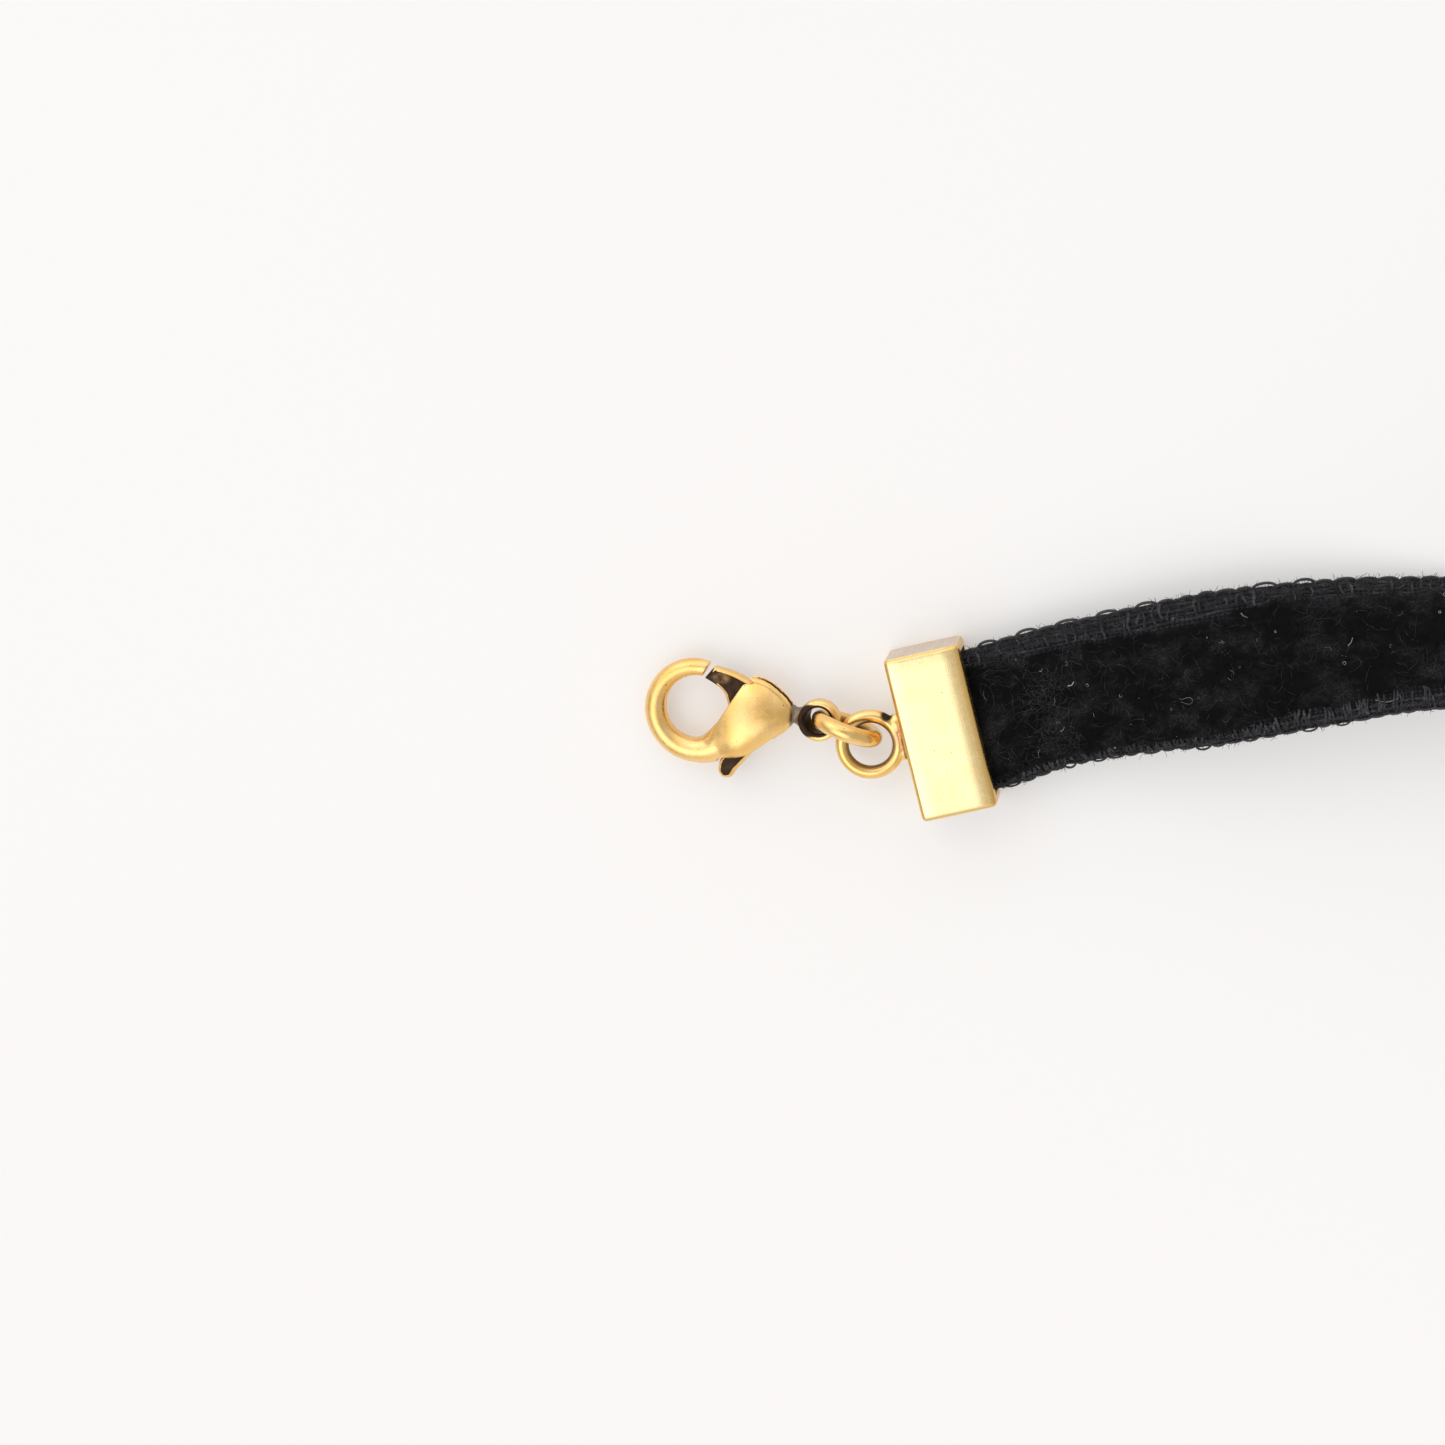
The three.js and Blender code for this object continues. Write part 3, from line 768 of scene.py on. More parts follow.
def tufts(count, rng):
    """Single tufts of pile standing a little out of the rest, each a closed three-sided spike."""
    s = rng.uniform(3.9, ribbon.length - 3.9, count)
    v = rng.uniform(-4.3, 4.1, count)
    keep = pile_rise(s, v) > 0.35
    s, v = s[keep], v[keep]
    top, rise = pile_surface(s, v)
    lean_s = 0.16 * lattice_noise(s / 2.2, v / 1.6, 41) + rng.normal(0, 0.07, len(s))
    lean_v = 0.16 * lattice_noise(s / 2.0, v / 1.8, 42) + rng.normal(0, 0.07, len(s))
    tall = rng.uniform(0.08, 0.22, len(s)) * (0.6 + 0.4 * rise)
    width = rng.uniform(0.045, 0.08, len(s))
    spin = rng.uniform(0, 2 * np.pi, len(s))
    corners = [(s + lean_s, v + lean_v, top + tall)]
    for k in range(3):
        a = spin + 2 * np.pi * k / 3
        corners.append((s + width * np.cos(a), v + width * np.sin(a), top - 0.12))
    verts = np.stack([ribbon.place(*c) for c in corners], 1).reshape(-1, 3)
    cloth = np.stack([np.stack(c, -1) for c in corners], 1).reshape(-1, 3)
    faces = []
    for i in range(len(s)):
        b = 4 * i
        faces += [(b, b + 1, b + 2), (b, b + 2, b + 3), (b, b + 3, b + 1), (b + 3, b + 2, b + 1)]
    obj = new_object("pile_tufts", above_table(verts), faces)
    set_vector(obj, "cloth", cloth)
    set_float(obj, "bare", np.zeros(len(verts)))
    return obj


def cloth_tube(path, radius, sides, squash=1.0):
    """A yarn along points given as distances along, across and out of the ribbon."""
    path = np.asarray(path, float)
    points = ribbon.place(path[:, 0], path[:, 1], path[:, 2])
    hint = ribbon.frames(path[:, 0])[2]
    v, f = sweep(points, radius, sides, side_hint=hint, squash=squash)
    cloth = np.repeat(path, sides, 0)
    return v, f, cloth


def join_yarns(name, yarns):
    verts, faces = join_parts([(v, f) for v, f, _ in yarns])
    obj = new_object(name, above_table(verts), faces)
    set_vector(obj, "cloth", np.concatenate([c for _, _, c in yarns]))
    return obj


def bead_cord(side, pitch, thick):
    """The plump, slanting turns of thread round a woven edge, as one beaded cord."""
    sides, step = 10, 0.1
    s = np.arange(3.0, ribbon.length - 3.0, step)
    edge = edge_at(side, s)
    angle = around(sides)
    slant = 0.35 * np.sin(angle)[None]
    wander = 0.25 * lattice_noise(s / 2.5, 1.5, 51)[:, None]
    phase = (s[:, None] / pitch + slant + wander) * np.pi
    size = 0.62 + 0.38 * np.abs(np.sin(phase)) ** 0.6
    size = size * (1 + 0.18 * lattice_noise(s[:, None] / 1.3, angle[None], 52))
    v = edge[:, None] - side * 0.16 + thick * size * np.cos(angle)[None]
    n = BASE_TOP - 0.12 + 0.75 * thick * size * np.sin(angle)[None]
    full = np.broadcast_to(s[:, None], v.shape)
    verts = ribbon.place(full, v, n)
    faces = ring_faces(len(s), sides, False)
    return verts, faces, np.stack([full, v, n], -1).reshape(-1, 3)


def ribs(side, rng, spacing, reach):
    """Short weft threads that show here and there across a selvedge and into the pile."""
    yarns = []
    s = 3.2
    while s < ribbon.length - 3.2:
        edge = float(edge_at(side, s))
        band = float(band_at(side, s))
        outer = edge - side * rng.uniform(0.08, 0.45)
        inner = edge - side * (band * rng.uniform(0.4, reach) + 0.25)
        drift = rng.normal(0, 0.07)
        lift = rng.uniform(-0.04, 0.12)
        t = np.linspace(0, 1, 7)
        wave = 0.07 * np.sin(rng.uniform(3, 7) * t + rng.uniform(0, 6))
        rise = 0.10 * np.sin(np.pi * t) + 0.30 * t
        across = outer + (inner - outer) * t
        path = np.stack([s + drift * t + wave, across, BASE_TOP + lift + rise], -1)
        thick = rng.uniform(0.07, 0.14) * (1 - 0.45 * t)
        yarns.append(cloth_tube(path, thick, 6, 0.7))
        s += spacing * (rng.uniform(0.25, 0.7) if rng.uniform() < 0.7 else rng.uniform(1.0, 2.4))
    return yarns


def warps(side, rng):
    """Threads that run along a selvedge, waving over and under the weft."""
    yarns = []
    depths = (0.34, 0.62, 0.92, 1.2, 1.5) if side > 0 else (0.28, 0.6, 1.0)
    usual_band = 1.4 if side > 0 else 0.9
    for depth in depths:
        start = 3.0
        while start < ribbon.length - 6:
            long = rng.uniform(6.0, 16.0)
            s = np.arange(start, min(start + long, ribbon.length - 3.0), 0.16)
            wide = band_at(side, s) / usual_band
            wander = 0.12 * lattice_noise(s / 1.1, depth * 9, 71)
            v = edge_at(side, s) - side * (depth * wide + wander)
            n = BASE_TOP + 0.02 + 0.07 * lattice_noise(s / 0.45, depth * 7, 72)
            n = n + 0.04 * lattice_noise(s / 2.0, depth * 5, 73)
            ends = smoothstep(0, 0.5, s - s[0]) * smoothstep(0, 0.5, s[-1] - s)
            yarns.append(cloth_tube(np.stack([s, v, n - 0.2 * (1 - ends)], -1), 0.085, 6, 0.8))
            start = s[-1] - rng.uniform(0.0, 1.0)
    return yarns


def edge_turn(rng, s, side, long, high, thick):
    """One turn of thread round a woven edge, open below when it stands high."""
    edge = float(edge_at(side, s))
    t = np.linspace(-0.12, 1.12, 17)
    path = np.stack(
        [
            s - long * np.cos(np.pi * t),
            edge + side * (-0.16 + high * np.sin(np.pi * t)),
            BASE_TOP + 0.02 + 0.10 * np.sin(np.pi * t) + rng.uniform(-0.03, 0.03),
        ],
        -1,
    )
    return cloth_tube(path, thick * (0.85 + 0.15 * np.sin(np.pi * t)), 8)


def edge_loops(rng):
    """The far edge: scalloped turns of shiny thread, every second one a bigger loop at first."""
    yarns = []
    s, big = 6.0, False
    while s < ribbon.length - 5:
        big = not big
        loose = big and (s < 17 or rng.uniform() < 0.2)
        long = rng.uniform(0.72, 0.88) if loose else rng.uniform(0.5, 0.68)
        high = rng.uniform(0.32, 0.38) if loose else rng.uniform(0.15, 0.22)
        yarns.append(edge_turn(rng, s, 1, long, high, rng.uniform(0.085, 0.11)))
        s += rng.uniform(1.25, 1.42)
    return yarns


def near_loops(rng):
    """The near edge: low wavy turns, a few of them open."""
    yarns = []
    s = 5.0
    while s < ribbon.length - 5:
        loose = rng.uniform() < 0.16
        high = rng.uniform(0.26, 0.32) if loose else rng.uniform(0.13, 0.20)
        long, thick = rng.uniform(0.4, 0.66), rng.uniform(0.065, 0.09)
        yarns.append(edge_turn(rng, s, -1, long, high, thick))
        s += rng.uniform(0.95, 1.5)
    return yarns


def fibre(rng, s, v, n, length, wildness, radius, slope, steps, sides=3):
    """One fine fibre wandering from a point on the cloth, rising by up to slope at first."""
    heading = rng.uniform(0, 2 * np.pi)
    bend = rng.normal(0, wildness)
    path = [(s, v, n)]
    lift = rng.uniform(-0.1, 1.0) * slope
    for _ in range(steps - 1):
        heading += bend + rng.normal(0, 0.25 * wildness)
        step = length / (steps - 1)
        s, v, n = path[-1]
        path.append(
            (s + step * math.cos(heading), v + step * math.sin(heading), n + step * lift)
        )
        lift -= 0.5 * slope / steps
    taper = radius * (1 - 0.5 * np.linspace(-1, 1, steps) ** 2)
    return cloth_tube(path, taper, sides)


CAP_MOUTH = 4.4  # how much of each end of the ribbon the caps hide
HANDLED_TO = 50


def somewhere(rng, close):
    """A distance along the ribbon, more often on the handled stretch by the first cap."""
    last = HANDLED_TO if rng.uniform() < close else ribbon.length - CAP_MOUTH
    return rng.uniform(CAP_MOUTH, last)


def edge_fuzz(rng):
    """Short fibres that stand over both selvedges and the borders of the pile."""
    yarns = []
    for side, count, spread in ((1, 6800, 0.75), (-1, 2500, 0.5)):
        for _ in range(count):
            s = somewhere(rng, 0.4)
            v = float(edge_at(side, s)) - side * (abs(rng.normal(0.08, spread)) + 0.02)
            n = rng.uniform(0.0, 0.24)
            yarns.append(fibre(rng, s, v, n, rng.uniform(0.2, 0.6), 0.4, 0.017, 0.3, 4))
    return yarns


def pile_hairs(rng):
    """Longer hairs that lie on the pile, some of them in wisps by the first cap."""
    yarns = []
    spots = [(somewhere(rng, 0.45), rng.uniform(-4.2, 4.2)) for _ in range(900)]
    spots += [(rng.uniform(4.3, 9.0), rng.uniform(-4.4, 4.6)) for _ in range(90)]
    for _ in range(7):
        middle = rng.uniform((5.5, -3.0), (10.0, 3.6))
        spots += [tuple(middle + rng.normal(0, 0.45, 2)) for _ in range(32)]
    for s, v in spots:
        n = pile_top(s, v) + 0.12
        yarns.append(fibre(rng, s, v, n, rng.uniform(0.4, 1.3), 0.16, 0.010, 0.12, 7))
    return yarns


# Threads caught on the pile: along, across, heading in degrees, length, curl, radius.
CAUGHT_THREADS = (
    (23.3, 3.4, -45, 0.62, 0.1, 0.035),
    (30.0, 0.5, 52, 0.7, 0.1, 0.022),
    (32.0, -3.7, -5, 1.8, 0.12, 0.018),
    (18.6, -1.6, 80, 2.2, 0.75, 0.016),
    (21.6, 1.9, 60, 0.9, 1.0, 0.018),
    (11.0, 1.0, 20, 0.6, 0.2, 0.020),
    (9.6, -1.9, 35, 0.5, 0.15, 0.024),
)


def lint(rng):
    """Pale dust and fibres caught on the pile, thickest near the first cap."""
    yarns = []
    spots = [(rng.uniform(4.6, 13.0), rng.uniform(-4.3, 4.3)) for _ in range(18)]
    spots += [(somewhere(rng, 0.35), rng.uniform(-4.3, 4.3)) for _ in range(230)]
    for s, v in spots:
        n = pile_top(s, v) + 0.17
        if rng.uniform() < 0.55:
            yarns.append(fibre(rng, s, v, n, rng.uniform(0.03, 0.06), 0.3, 0.014, 0.1, 4))
        else:
            yarns.append(fibre(rng, s, v, n, rng.uniform(0.3, 0.7), 0.5, 0.0095, 0.1, 12, 4))
    for s, v, heading, long, curl, radius in CAUGHT_THREADS:
        n = pile_top(s, v) + 0.24
        t = np.linspace(-0.5, 0.5, 15)
        a = np.radians(heading) + curl * 2.6 * np.sin(5 * t)
        path = np.cumsum(np.stack([np.cos(a), np.sin(a)], -1), 0) * long / len(t)
        path = path - path.mean(0) + (s, v)
        yarns.append(cloth_tube(np.column_stack([path, 0 * t + n]), radius, 6))
    return yarns


def lay_on_band(obj, material, replaced=()):
    return place_piece(obj, TABLE, "band", material, replaced, local=False)


TUFTS = 26000
rng = np.random.default_rng(20)
ground = lay_on_band(ribbon_ground(), VELVET, ["velvet_ribbon"])
pile = lay_on_band(tufts(TUFTS, rng), VELVET)
far_yarns = [bead_cord(1, 0.62, 0.18)] + ribs(1, rng, 1.1, 0.8) + warps(1, rng)
far_selvedge = lay_on_band(join_yarns("far_selvedge", far_yarns), YARN)
near_yarns = [bead_cord(-1, 0.8, 0.13)] + ribs(-1, rng, 0.42, 1.5) + warps(-1, rng)
near_selvedge = lay_on_band(join_yarns("near_selvedge", near_yarns), YARN)
loops = lay_on_band(join_yarns("edge_loops", edge_loops(rng) + near_loops(rng)), LOOP_YARN)
fuzz = lay_on_band(join_yarns("edge_fuzz", edge_fuzz(rng)), FUZZ)
hairs = lay_on_band(join_yarns("pile_hairs", pile_hairs(rng)), FUZZ)
specks = lay_on_band(join_yarns("pile_lint", lint(rng)), LINT)

# ---------- end caps ----------
CAP = {
    "along": 5.3,
    "across": 11.65,
    "height": 4.0,
    "edge": 0.38,
    "wall": 0.65,
    "slot_height": 2.3,
    "slot_depth": 4.4,
}
# The middle of each cap on the table, and its heading in degrees.
CAP_A = (15.22, 0.02, 14.2)
CAP_B = (68.14, -39.84, 96.0)
CAP_RING = {"radius": 1.97, "wire": 0.48, "z": 2.0}
RING_TO_CAP = CAP["along"] / 2 + CAP_RING["radius"] + CAP_RING["wire"]


def cap_matrix(place, facing):
    x, y, heading = place
    return TABLE @ Matrix.Translation((x, y, 0)) @ turn(heading + facing, "Z")


def round_box_point(p, half, edge):
    """The nearest point on a box's rounded skin to points near it."""
    inner = np.clip(p, -(half - edge), half - edge)
    away = p - inner
    reach = np.linalg.norm(away, axis=1)
    return inner + away * (edge / np.maximum(reach, 1e-6))[:, None], reach - edge


def oblong(start, end, side):
    return [(start, -side), (end, -side), (end, side), (start, side)]


def cap_shell(name):
    """The glue-in cap: a stamped box with rounded edges and a pocket for the ribbon."""
    half = np.array((CAP["along"], CAP["across"], CAP["height"])) / 2
    outline = oblong(-half[0], half[0], half[1])
    obj = new_object(name, *prism(outline, CAP["height"]))
    back, side = half[0] - CAP["slot_depth"], half[1] - CAP["wall"]
    pocket = oblong(back, 3 * half[0], side)
    boolean(obj, "DIFFERENCE", prism(pocket, CAP["slot_height"]))
    remesh(obj, CAP_VOXEL, 2, 0.5)
    co = coords(obj)
    skin, depth = round_box_point(co, half, CAP["edge"])
    outer = (depth > -0.2)[:, None]
    co = np.where(outer, skin, co)
    # The big faces dome slightly towards their worn edges, most at the mouth.
    rise = np.sign(co[:, 2]) * smoothstep(0.8, 1.4, np.abs(co[:, 2]))
    worn = 0.13 * smoothstep(0.45, 1.0, co[:, 0] / half[0]) ** 1.5
    worn += 0.05 * smoothstep(0.6, 1.0, -co[:, 0] / half[0])
    worn += 0.06 * smoothstep(0.82, 1.0, np.abs(co[:, 1]) / half[1])
    co[:, 2] -= rise * worn * outer[:, 0]
    co[:, 2] += half[2]
    set_coords(obj, co)
    no = normals(obj)
    # Where the side faces are, for their painted reflection and wear.
    set_float(obj, "side", smoothstep(0.75, 0.97, np.abs(no[:, 1])))
    turning = np.sort(np.abs(no), axis=1)[:, 1]
    line = smoothstep(0.22, 0.6, turning) * outer[:, 0]
    mouth = 0.75 * smoothstep(0.35, 1.0, co[:, 0] / half[0]) ** 2
    set_float(obj, "worn", np.maximum(0.9 * line, mouth) * (np.abs(no[:, 1]) < 0.8))
    shade_recesses(obj, 3.0)
    return obj


def round_line(radius, count):
    a = around(count)
    return np.stack([radius * np.cos(a), radius * np.sin(a), 0 * a], -1)


def cap_ring(name):
    """The ring soldered to the cap's back, with a drop of solder on each side."""
    angle = around(120)
    centre = np.array((-RING_TO_CAP, 0, CAP_RING["z"]))
    line = centre + round_line(CAP_RING["radius"], 120)
    wire = CAP_RING["wire"] * (0.97 + 0.012 * np.sin(3 * angle + 1))
    v, f = sweep(line, wire, 28, closed=True)
    obj = new_object(name, v, f)
    for side, big in ((-1, 1.0), (1, 1.25)):
        at = (-CAP["along"] / 2 - 0.32, side * 0.92, CAP_RING["z"])
        boolean(obj, "UNION", ellipsoid((0.5 * big, 0.66 * big, 0.42 * big), at))
    # The cap takes up everything beyond its back wall.
    boolean(obj, "DIFFERENCE", prism(oblong(-2.68, 2.6, 4), 12))
    remesh(obj, CASTING_VOXEL, 4, 0.6)
    co = coords(obj)
    # Tarnish inside the wire, red solder at the joint, and painted shade for the dark gap at the
    # wire's open butt.
    flat = co - centre
    radial = np.linalg.norm(flat[:, :2], axis=1) - CAP_RING["radius"]
    tarnish = smoothstep(0.10, 0.44, -radial) * 0.75
    joint = np.linalg.norm((co - (-2.75, 0.0, 2.0)) / (0.75, 1.45, 1.2), axis=1)
    red = 1 - smoothstep(0.65, 1.05, joint)
    butt_gap_shade = np.linalg.norm(co - (-3.55, 1.70, 2.2), axis=1)
    dark = np.maximum(tarnish, 1 - smoothstep(0.30, 0.55, butt_gap_shade))
    seam = 1 - smoothstep(0.04, 0.16, np.abs(co[:, 0] + 2.85))
    dark = np.maximum(dark, 0.8 * seam * (co[:, 1] < 0))
    set_vector(obj, "stain_and_shade", np.stack([dark, red * (1 - dark), np.zeros(len(co))], -1))
    shade_recesses(obj, 1.2)
    return obj


def ellipsoid(radii, at, rows=16, columns=24):
    """An ellipsoid's points and faces, from its top point to its bottom point."""
    points = [(0, 0, 1)]
    for a in math.pi * np.arange(1, rows) / rows:
        flat, high = math.sin(a), math.cos(a)
        points += [(flat * math.cos(b), flat * math.sin(b), high) for b in around(columns)]
    points.append((0, 0, -1))
    faces = [(0, 1 + j, 1 + (j + 1) % columns) for j in range(columns)]
    for i in range(rows - 2):
        for j in range(columns):
            a, b = 1 + i * columns + j, 1 + i * columns + (j + 1) % columns
            faces.append((a, a + columns, b + columns, b))
    last = len(points) - 1
    start = 1 + (rows - 2) * columns
    faces += [(last, start + (j + 1) % columns, start + j) for j in range(columns)]
    return np.array(points) * radii + at, faces


def copy_piece(obj, name):
    twin = obj.copy()
    twin.data = obj.data.copy()
    twin.name = name
    bpy.context.scene.collection.objects.link(twin)
    return twin


shell_a = cap_shell("cap_shell_a")
shell_b = copy_piece(shell_a, "cap_shell_b")
ring_a = cap_ring("soldered_ring_a")
ring_b = copy_piece(ring_a, "soldered_ring_b")
for shell, ring, suffix, place, facing in (
    (shell_a, ring_a, "a", CAP_A, 0),
    (shell_b, ring_b, "b", CAP_B, 180),
):
    matrix = cap_matrix(place, facing)
    place_piece(shell, matrix, "band", GOLD_CAP, ["end_cap_" + suffix])
    place_piece(ring, matrix, "band", GOLD_WIRE, ["cap_ring_" + suffix])

# ---------- rings and chain ----------
JUMP_RING = {"at": (8.71, -0.02, 2.58), "heading": -18.9, "lean": 3, "radius": 1.95, "wire": 0.6}
LINK = {
    "length": 6.2,
    "width": 4.3,
    "wire": 0.45,
    "count": 8,
    "pitch": 4.2,
    "roll": 45,
    "z": 1.98,
    "play": 0.3,
}
CHAIN_TURN = -19


def wire_ring(name, line, wire, sides, gap_at):
    """A closed ring of wire, with tarnish inside and a fine dark line where its ends meet."""
    v, f = sweep(line, wire, sides, closed=True)
    obj = new_object(name, v, f)
    count = len(line)
    inner = np.tile(np.cos(around(sides)), count)
    along = np.repeat(np.arange(count) / count, sides)
    away = np.abs((along - gap_at + 0.5) % 1 - 0.5)
    seam = 1 - smoothstep(0.002, 0.006, away)
    dark = np.maximum(0.8 * smoothstep(0.45, 0.95, inner), seam)
    zero = np.zeros(len(v))
    set_vector(obj, "stain_and_shade", np.stack([dark, zero, zero], -1))
    set_float(obj, "recess", 0.25 * smoothstep(0.2, 0.9, inner))
    return obj


def link_line(count):
    """The centre line of a link's wire: two straights and two half circles."""
    bend = LINK["width"] / 2 - LINK["wire"]
    straight = (LINK["length"] - LINK["width"]) / 2
    total = 2 * math.pi * bend + 4 * straight
    out = []
    for d in np.arange(count) / count * total:
        half = total / 2
        flip = d >= half
        d = d - half if flip else d
        if d < straight:
            p = (d, -bend)
        elif d < straight + math.pi * bend:
            a = -math.pi / 2 + (d - straight) / bend
            p = (straight + bend * math.cos(a), bend * math.sin(a))
        else:
            p = (straight - (d - straight - math.pi * bend), bend)
        out.append((-p[0], -p[1], 0) if flip else (p[0], p[1], 0))
    return np.array(out)


line = round_line(JUMP_RING["radius"], 144)
jump = wire_ring("jump_ring_wire", line, JUMP_RING["wire"], 32, 0.75)
place_piece(
    jump,
    TABLE
    @ Matrix.Translation(JUMP_RING["at"])
    @ turn(JUMP_RING["heading"], "Z")
    @ turn(90 - JUMP_RING["lean"], "X"),
    "jump_ring",
    GOLD_WIRE,
    ["jump_ring"],
)

at = Vector((CAP_B[0], CAP_B[1], 0)) + turn(CAP_B[2], "Z") @ Vector(
    (RING_TO_CAP + CAP_RING["radius"] - CAP_RING["wire"] - LINK["wire"] - LINK["play"], 0, 0)
)
heading = CAP_B[2]
for i in range(LINK["count"]):
    forward = turn(heading, "Z") @ Vector((1, 0, 0))
    centre = at + (LINK["length"] / 2 - LINK["wire"]) * forward
    centre.z = LINK["z"]
    link = wire_ring(f"link_wire_{i + 1}", link_line(120), LINK["wire"], 20, 0.06)
    roll = LINK["roll"] if i % 2 else -LINK["roll"]
    matrix = TABLE @ Matrix.Translation(centre) @ turn(heading, "Z") @ turn(roll, "X")
    place_piece(link, matrix, f"link_{i + 1}", GOLD_WIRE, [f"chain_link_{i + 1}"])
    at += LINK["pitch"] * forward
    heading += CHAIN_TURN

# ---------- clasp ----------
CLASP = TABLE @ Matrix.Translation((6.69, 0.405, 2.35)) @ turn(-6, "Y")
HOOK = {"x": -8.6, "y": 0.45, "radius": 2.92, "tip": 71, "root": 318}
# The rod's radius at angles round the hook.
ROD_STOPS = (75, 90, 135, 180, 230, 270, 300, 318)
ROD_RADIUS = (0.57, 0.6, 0.66, 0.76, 0.82, 0.89, 1.1, 1.25)
PIVOT = (-4.2, 0.3)
OPEN_ANGLE = 22
LEVER_THICKNESS = 1.1
LEVER_ROOM = LEVER_THICKNESS + 2 * 0.12
SEAM_HEIGHT = 0.6
# The bulb's cross-sections from nose to neck: x, lowest y, highest y, half thickness.
BULB_SECTIONS = [
    (-8.3, -3.3, -1.65, 0.8),
    (-7.7, -3.3, -0.9, 0.96),
    (-7.1, -3.24, 0.6, 1.17),
    (-6.5, -3.16, 1.9, 1.40),
    (-5.8, -3.0, 2.6, 1.60),
    (-5.0, -2.7, 2.9, 1.68),
    (-4.2, -2.25, 2.9, 1.62),
    (-3.5, -1.75, 2.65, 1.5),
    (-2.9, -1.3, 2.25, 1.33),
    (-2.4, -0.95, 1.82, 1.15),
    (-2.05, -0.62, 1.45, 0.98),
    (-1.82, -0.35, 1.15, 0.8),
    (-1.7, -0.15, 0.9, 0.58),
]
# Outlines, seen from above: the open mouth under the bulb, and the lever's two long sides.
MOUTH = [
    (-4.6, 4.0),
    (-4.74, 2.86),
    (-5.12, 2.5),
    (-5.49, 1.94),
    (-6.06, 1.04),
    (-6.88, -0.2),
    (-7.6, -1.0),
    (-8.0, -1.3),
    (-8.45, -1.52),
    (-9.1, -0.9),
    (-9.0, 2.2),
    (-8.25, 2.58),
    (-7.4, 4.1),
]
LEVER_INNER = [
    (-7.96, 2.67),
    (-7.19, 2.24),
    (-6.55, 1.64),
    (-6.3, 0.8),
    (-6.0, -0.1),
    (-5.9, -1.0),
    (-6.2, -2.0),
    (-6.85, -3.0),
    (-7.02, -3.7),
]
LEVER_BACK = [
    (-5.77, -3.75),
    (-4.78, -2.65),
    (-3.85, -1.5),
    (-3.25, -0.5),
    (-3.15, 0.5),
    (-3.55, 1.5),
    (-4.2, 2.2),
    (-5.0, 2.72),
    (-6.1, 3.2),
    (-7.27, 3.5),
]
# The round thumb tab between them.
TAB = {"x": -6.42, "y": -3.74, "radius": 0.58, "from": 189, "to": 320}
# The slot in the bulb's top for the lever's back, and the spring's pocket behind the lever.
SEAM = [
    (-5.2, 3.4),
    (-5.4, 2.2),
    (-4.0, 1.4),
    (-2.75, 0.75),
    (-2.1, 0.6),
    (-1.75, 1.0),
    (-2.6, 2.6),
    (-3.8, 3.4),
]
SPRING_POCKET = [(-3.15, -0.75), (-2.4, -0.52), (-2.05, 0.05), (-2.1, 0.75), (-3.15, 0.9)]


def lever_outline(inner=44, back=48):
    angle = np.radians(np.linspace(TAB["from"], TAB["to"], 14))
    x, y = TAB["x"] + TAB["radius"] * np.cos(angle), TAB["y"] + TAB["radius"] * np.sin(angle)
    tab = np.stack([x, y], -1)
    return np.concatenate([spline(LEVER_INNER, inner), tab, spline(LEVER_BACK, back)])


def loft_rings(rings):
    count = len(rings[0])
    return np.concatenate(rings), ring_faces(len(rings), count, False)


def hook_solid():
    """The hook's rod, from its tip round to where it runs into the bulb."""
    rings = []
    for degrees in np.linspace(HOOK["tip"], HOOK["root"], 110):
        a = math.radians(degrees)
        r = float(np.interp(degrees, ROD_STOPS, ROD_RADIUS))
        b = around(40)
        reach = HOOK["radius"] + r * np.cos(b)
        x, y = HOOK["x"] + reach * math.cos(a), HOOK["y"] + reach * math.sin(a)
        rings.append(np.stack([x, y, -r * np.sin(b)], -1))
    return loft_rings(rings)


def bulb_solid():
    sections = spline(BULB_SECTIONS, 90)
    rings = []
    b = around(56)
    for x, low, high, half in sections:
        middle, reach = (low + high) / 2, (high - low) / 2
        # The ridge lies nearer the lower side than the upper one.
        lean = 0.30 * smoothstep(-7.4, -5.2, x) * (1 - 0.6 * smoothstep(-3.2, -1.8, x))
        across = middle + reach * (np.cos(b) - lean * np.sin(b) ** 2)
        rings.append(np.stack([0 * b + x, across, half * np.sin(b)], -1))
    return loft_rings(rings)


EYE_AT = (0.08, 0.06)
EYE = {"outer": 1.46, "inner": 0.90, "half_height": 0.62, "round": 0.26}


def neck_solid():
    """The rough neck between the bulb and the eye, thinnest in its middle."""
    t = np.linspace(0, 1, 12)[:, None]
    line = np.column_stack([-2.15 + 1.15 * t, 0.44 - 0.24 * t, 0 * t])
    radius = 0.62 + 0.12 * (2 * t[:, 0] - 1) ** 2 + 0.05 * np.sin(9 * t[:, 0])
    return sweep(line, radius, 32)


def eye_solid():
    """The eye as a ring with rounded edges."""
    outer, inner, h, r = EYE.values()
    profile = []
    for cx, cy, start in (
        (outer - r, -h + r, -90),
        (outer - r, h - r, 0),
        (inner + r, h - r, 90),
        (inner + r, -h + r, 180),
    ):
        for k in range(5):
            a = math.radians(start + 90 * k / 4)
            profile.append((cx + r * math.cos(a), cy + r * math.sin(a)))
    radius, z = np.array(profile).T
    bore = radius < (outer + inner) / 2
    rings = []
    for a in around(72):
        # The hole's left wall comes in lower down, well clear of the ring at rest.
        low_left = 0.26 * max(0, -math.cos(a - 0.35)) ** 1.5 * smoothstep(0.1, -0.3, z)
        reach = radius - bore * low_left
        x = EYE_AT[0] + reach * math.cos(a)
        rings.append(np.stack([x, EYE_AT[1] + reach * math.sin(a), z], -1))
    return np.concatenate(rings), ring_faces(72, len(radius), True)


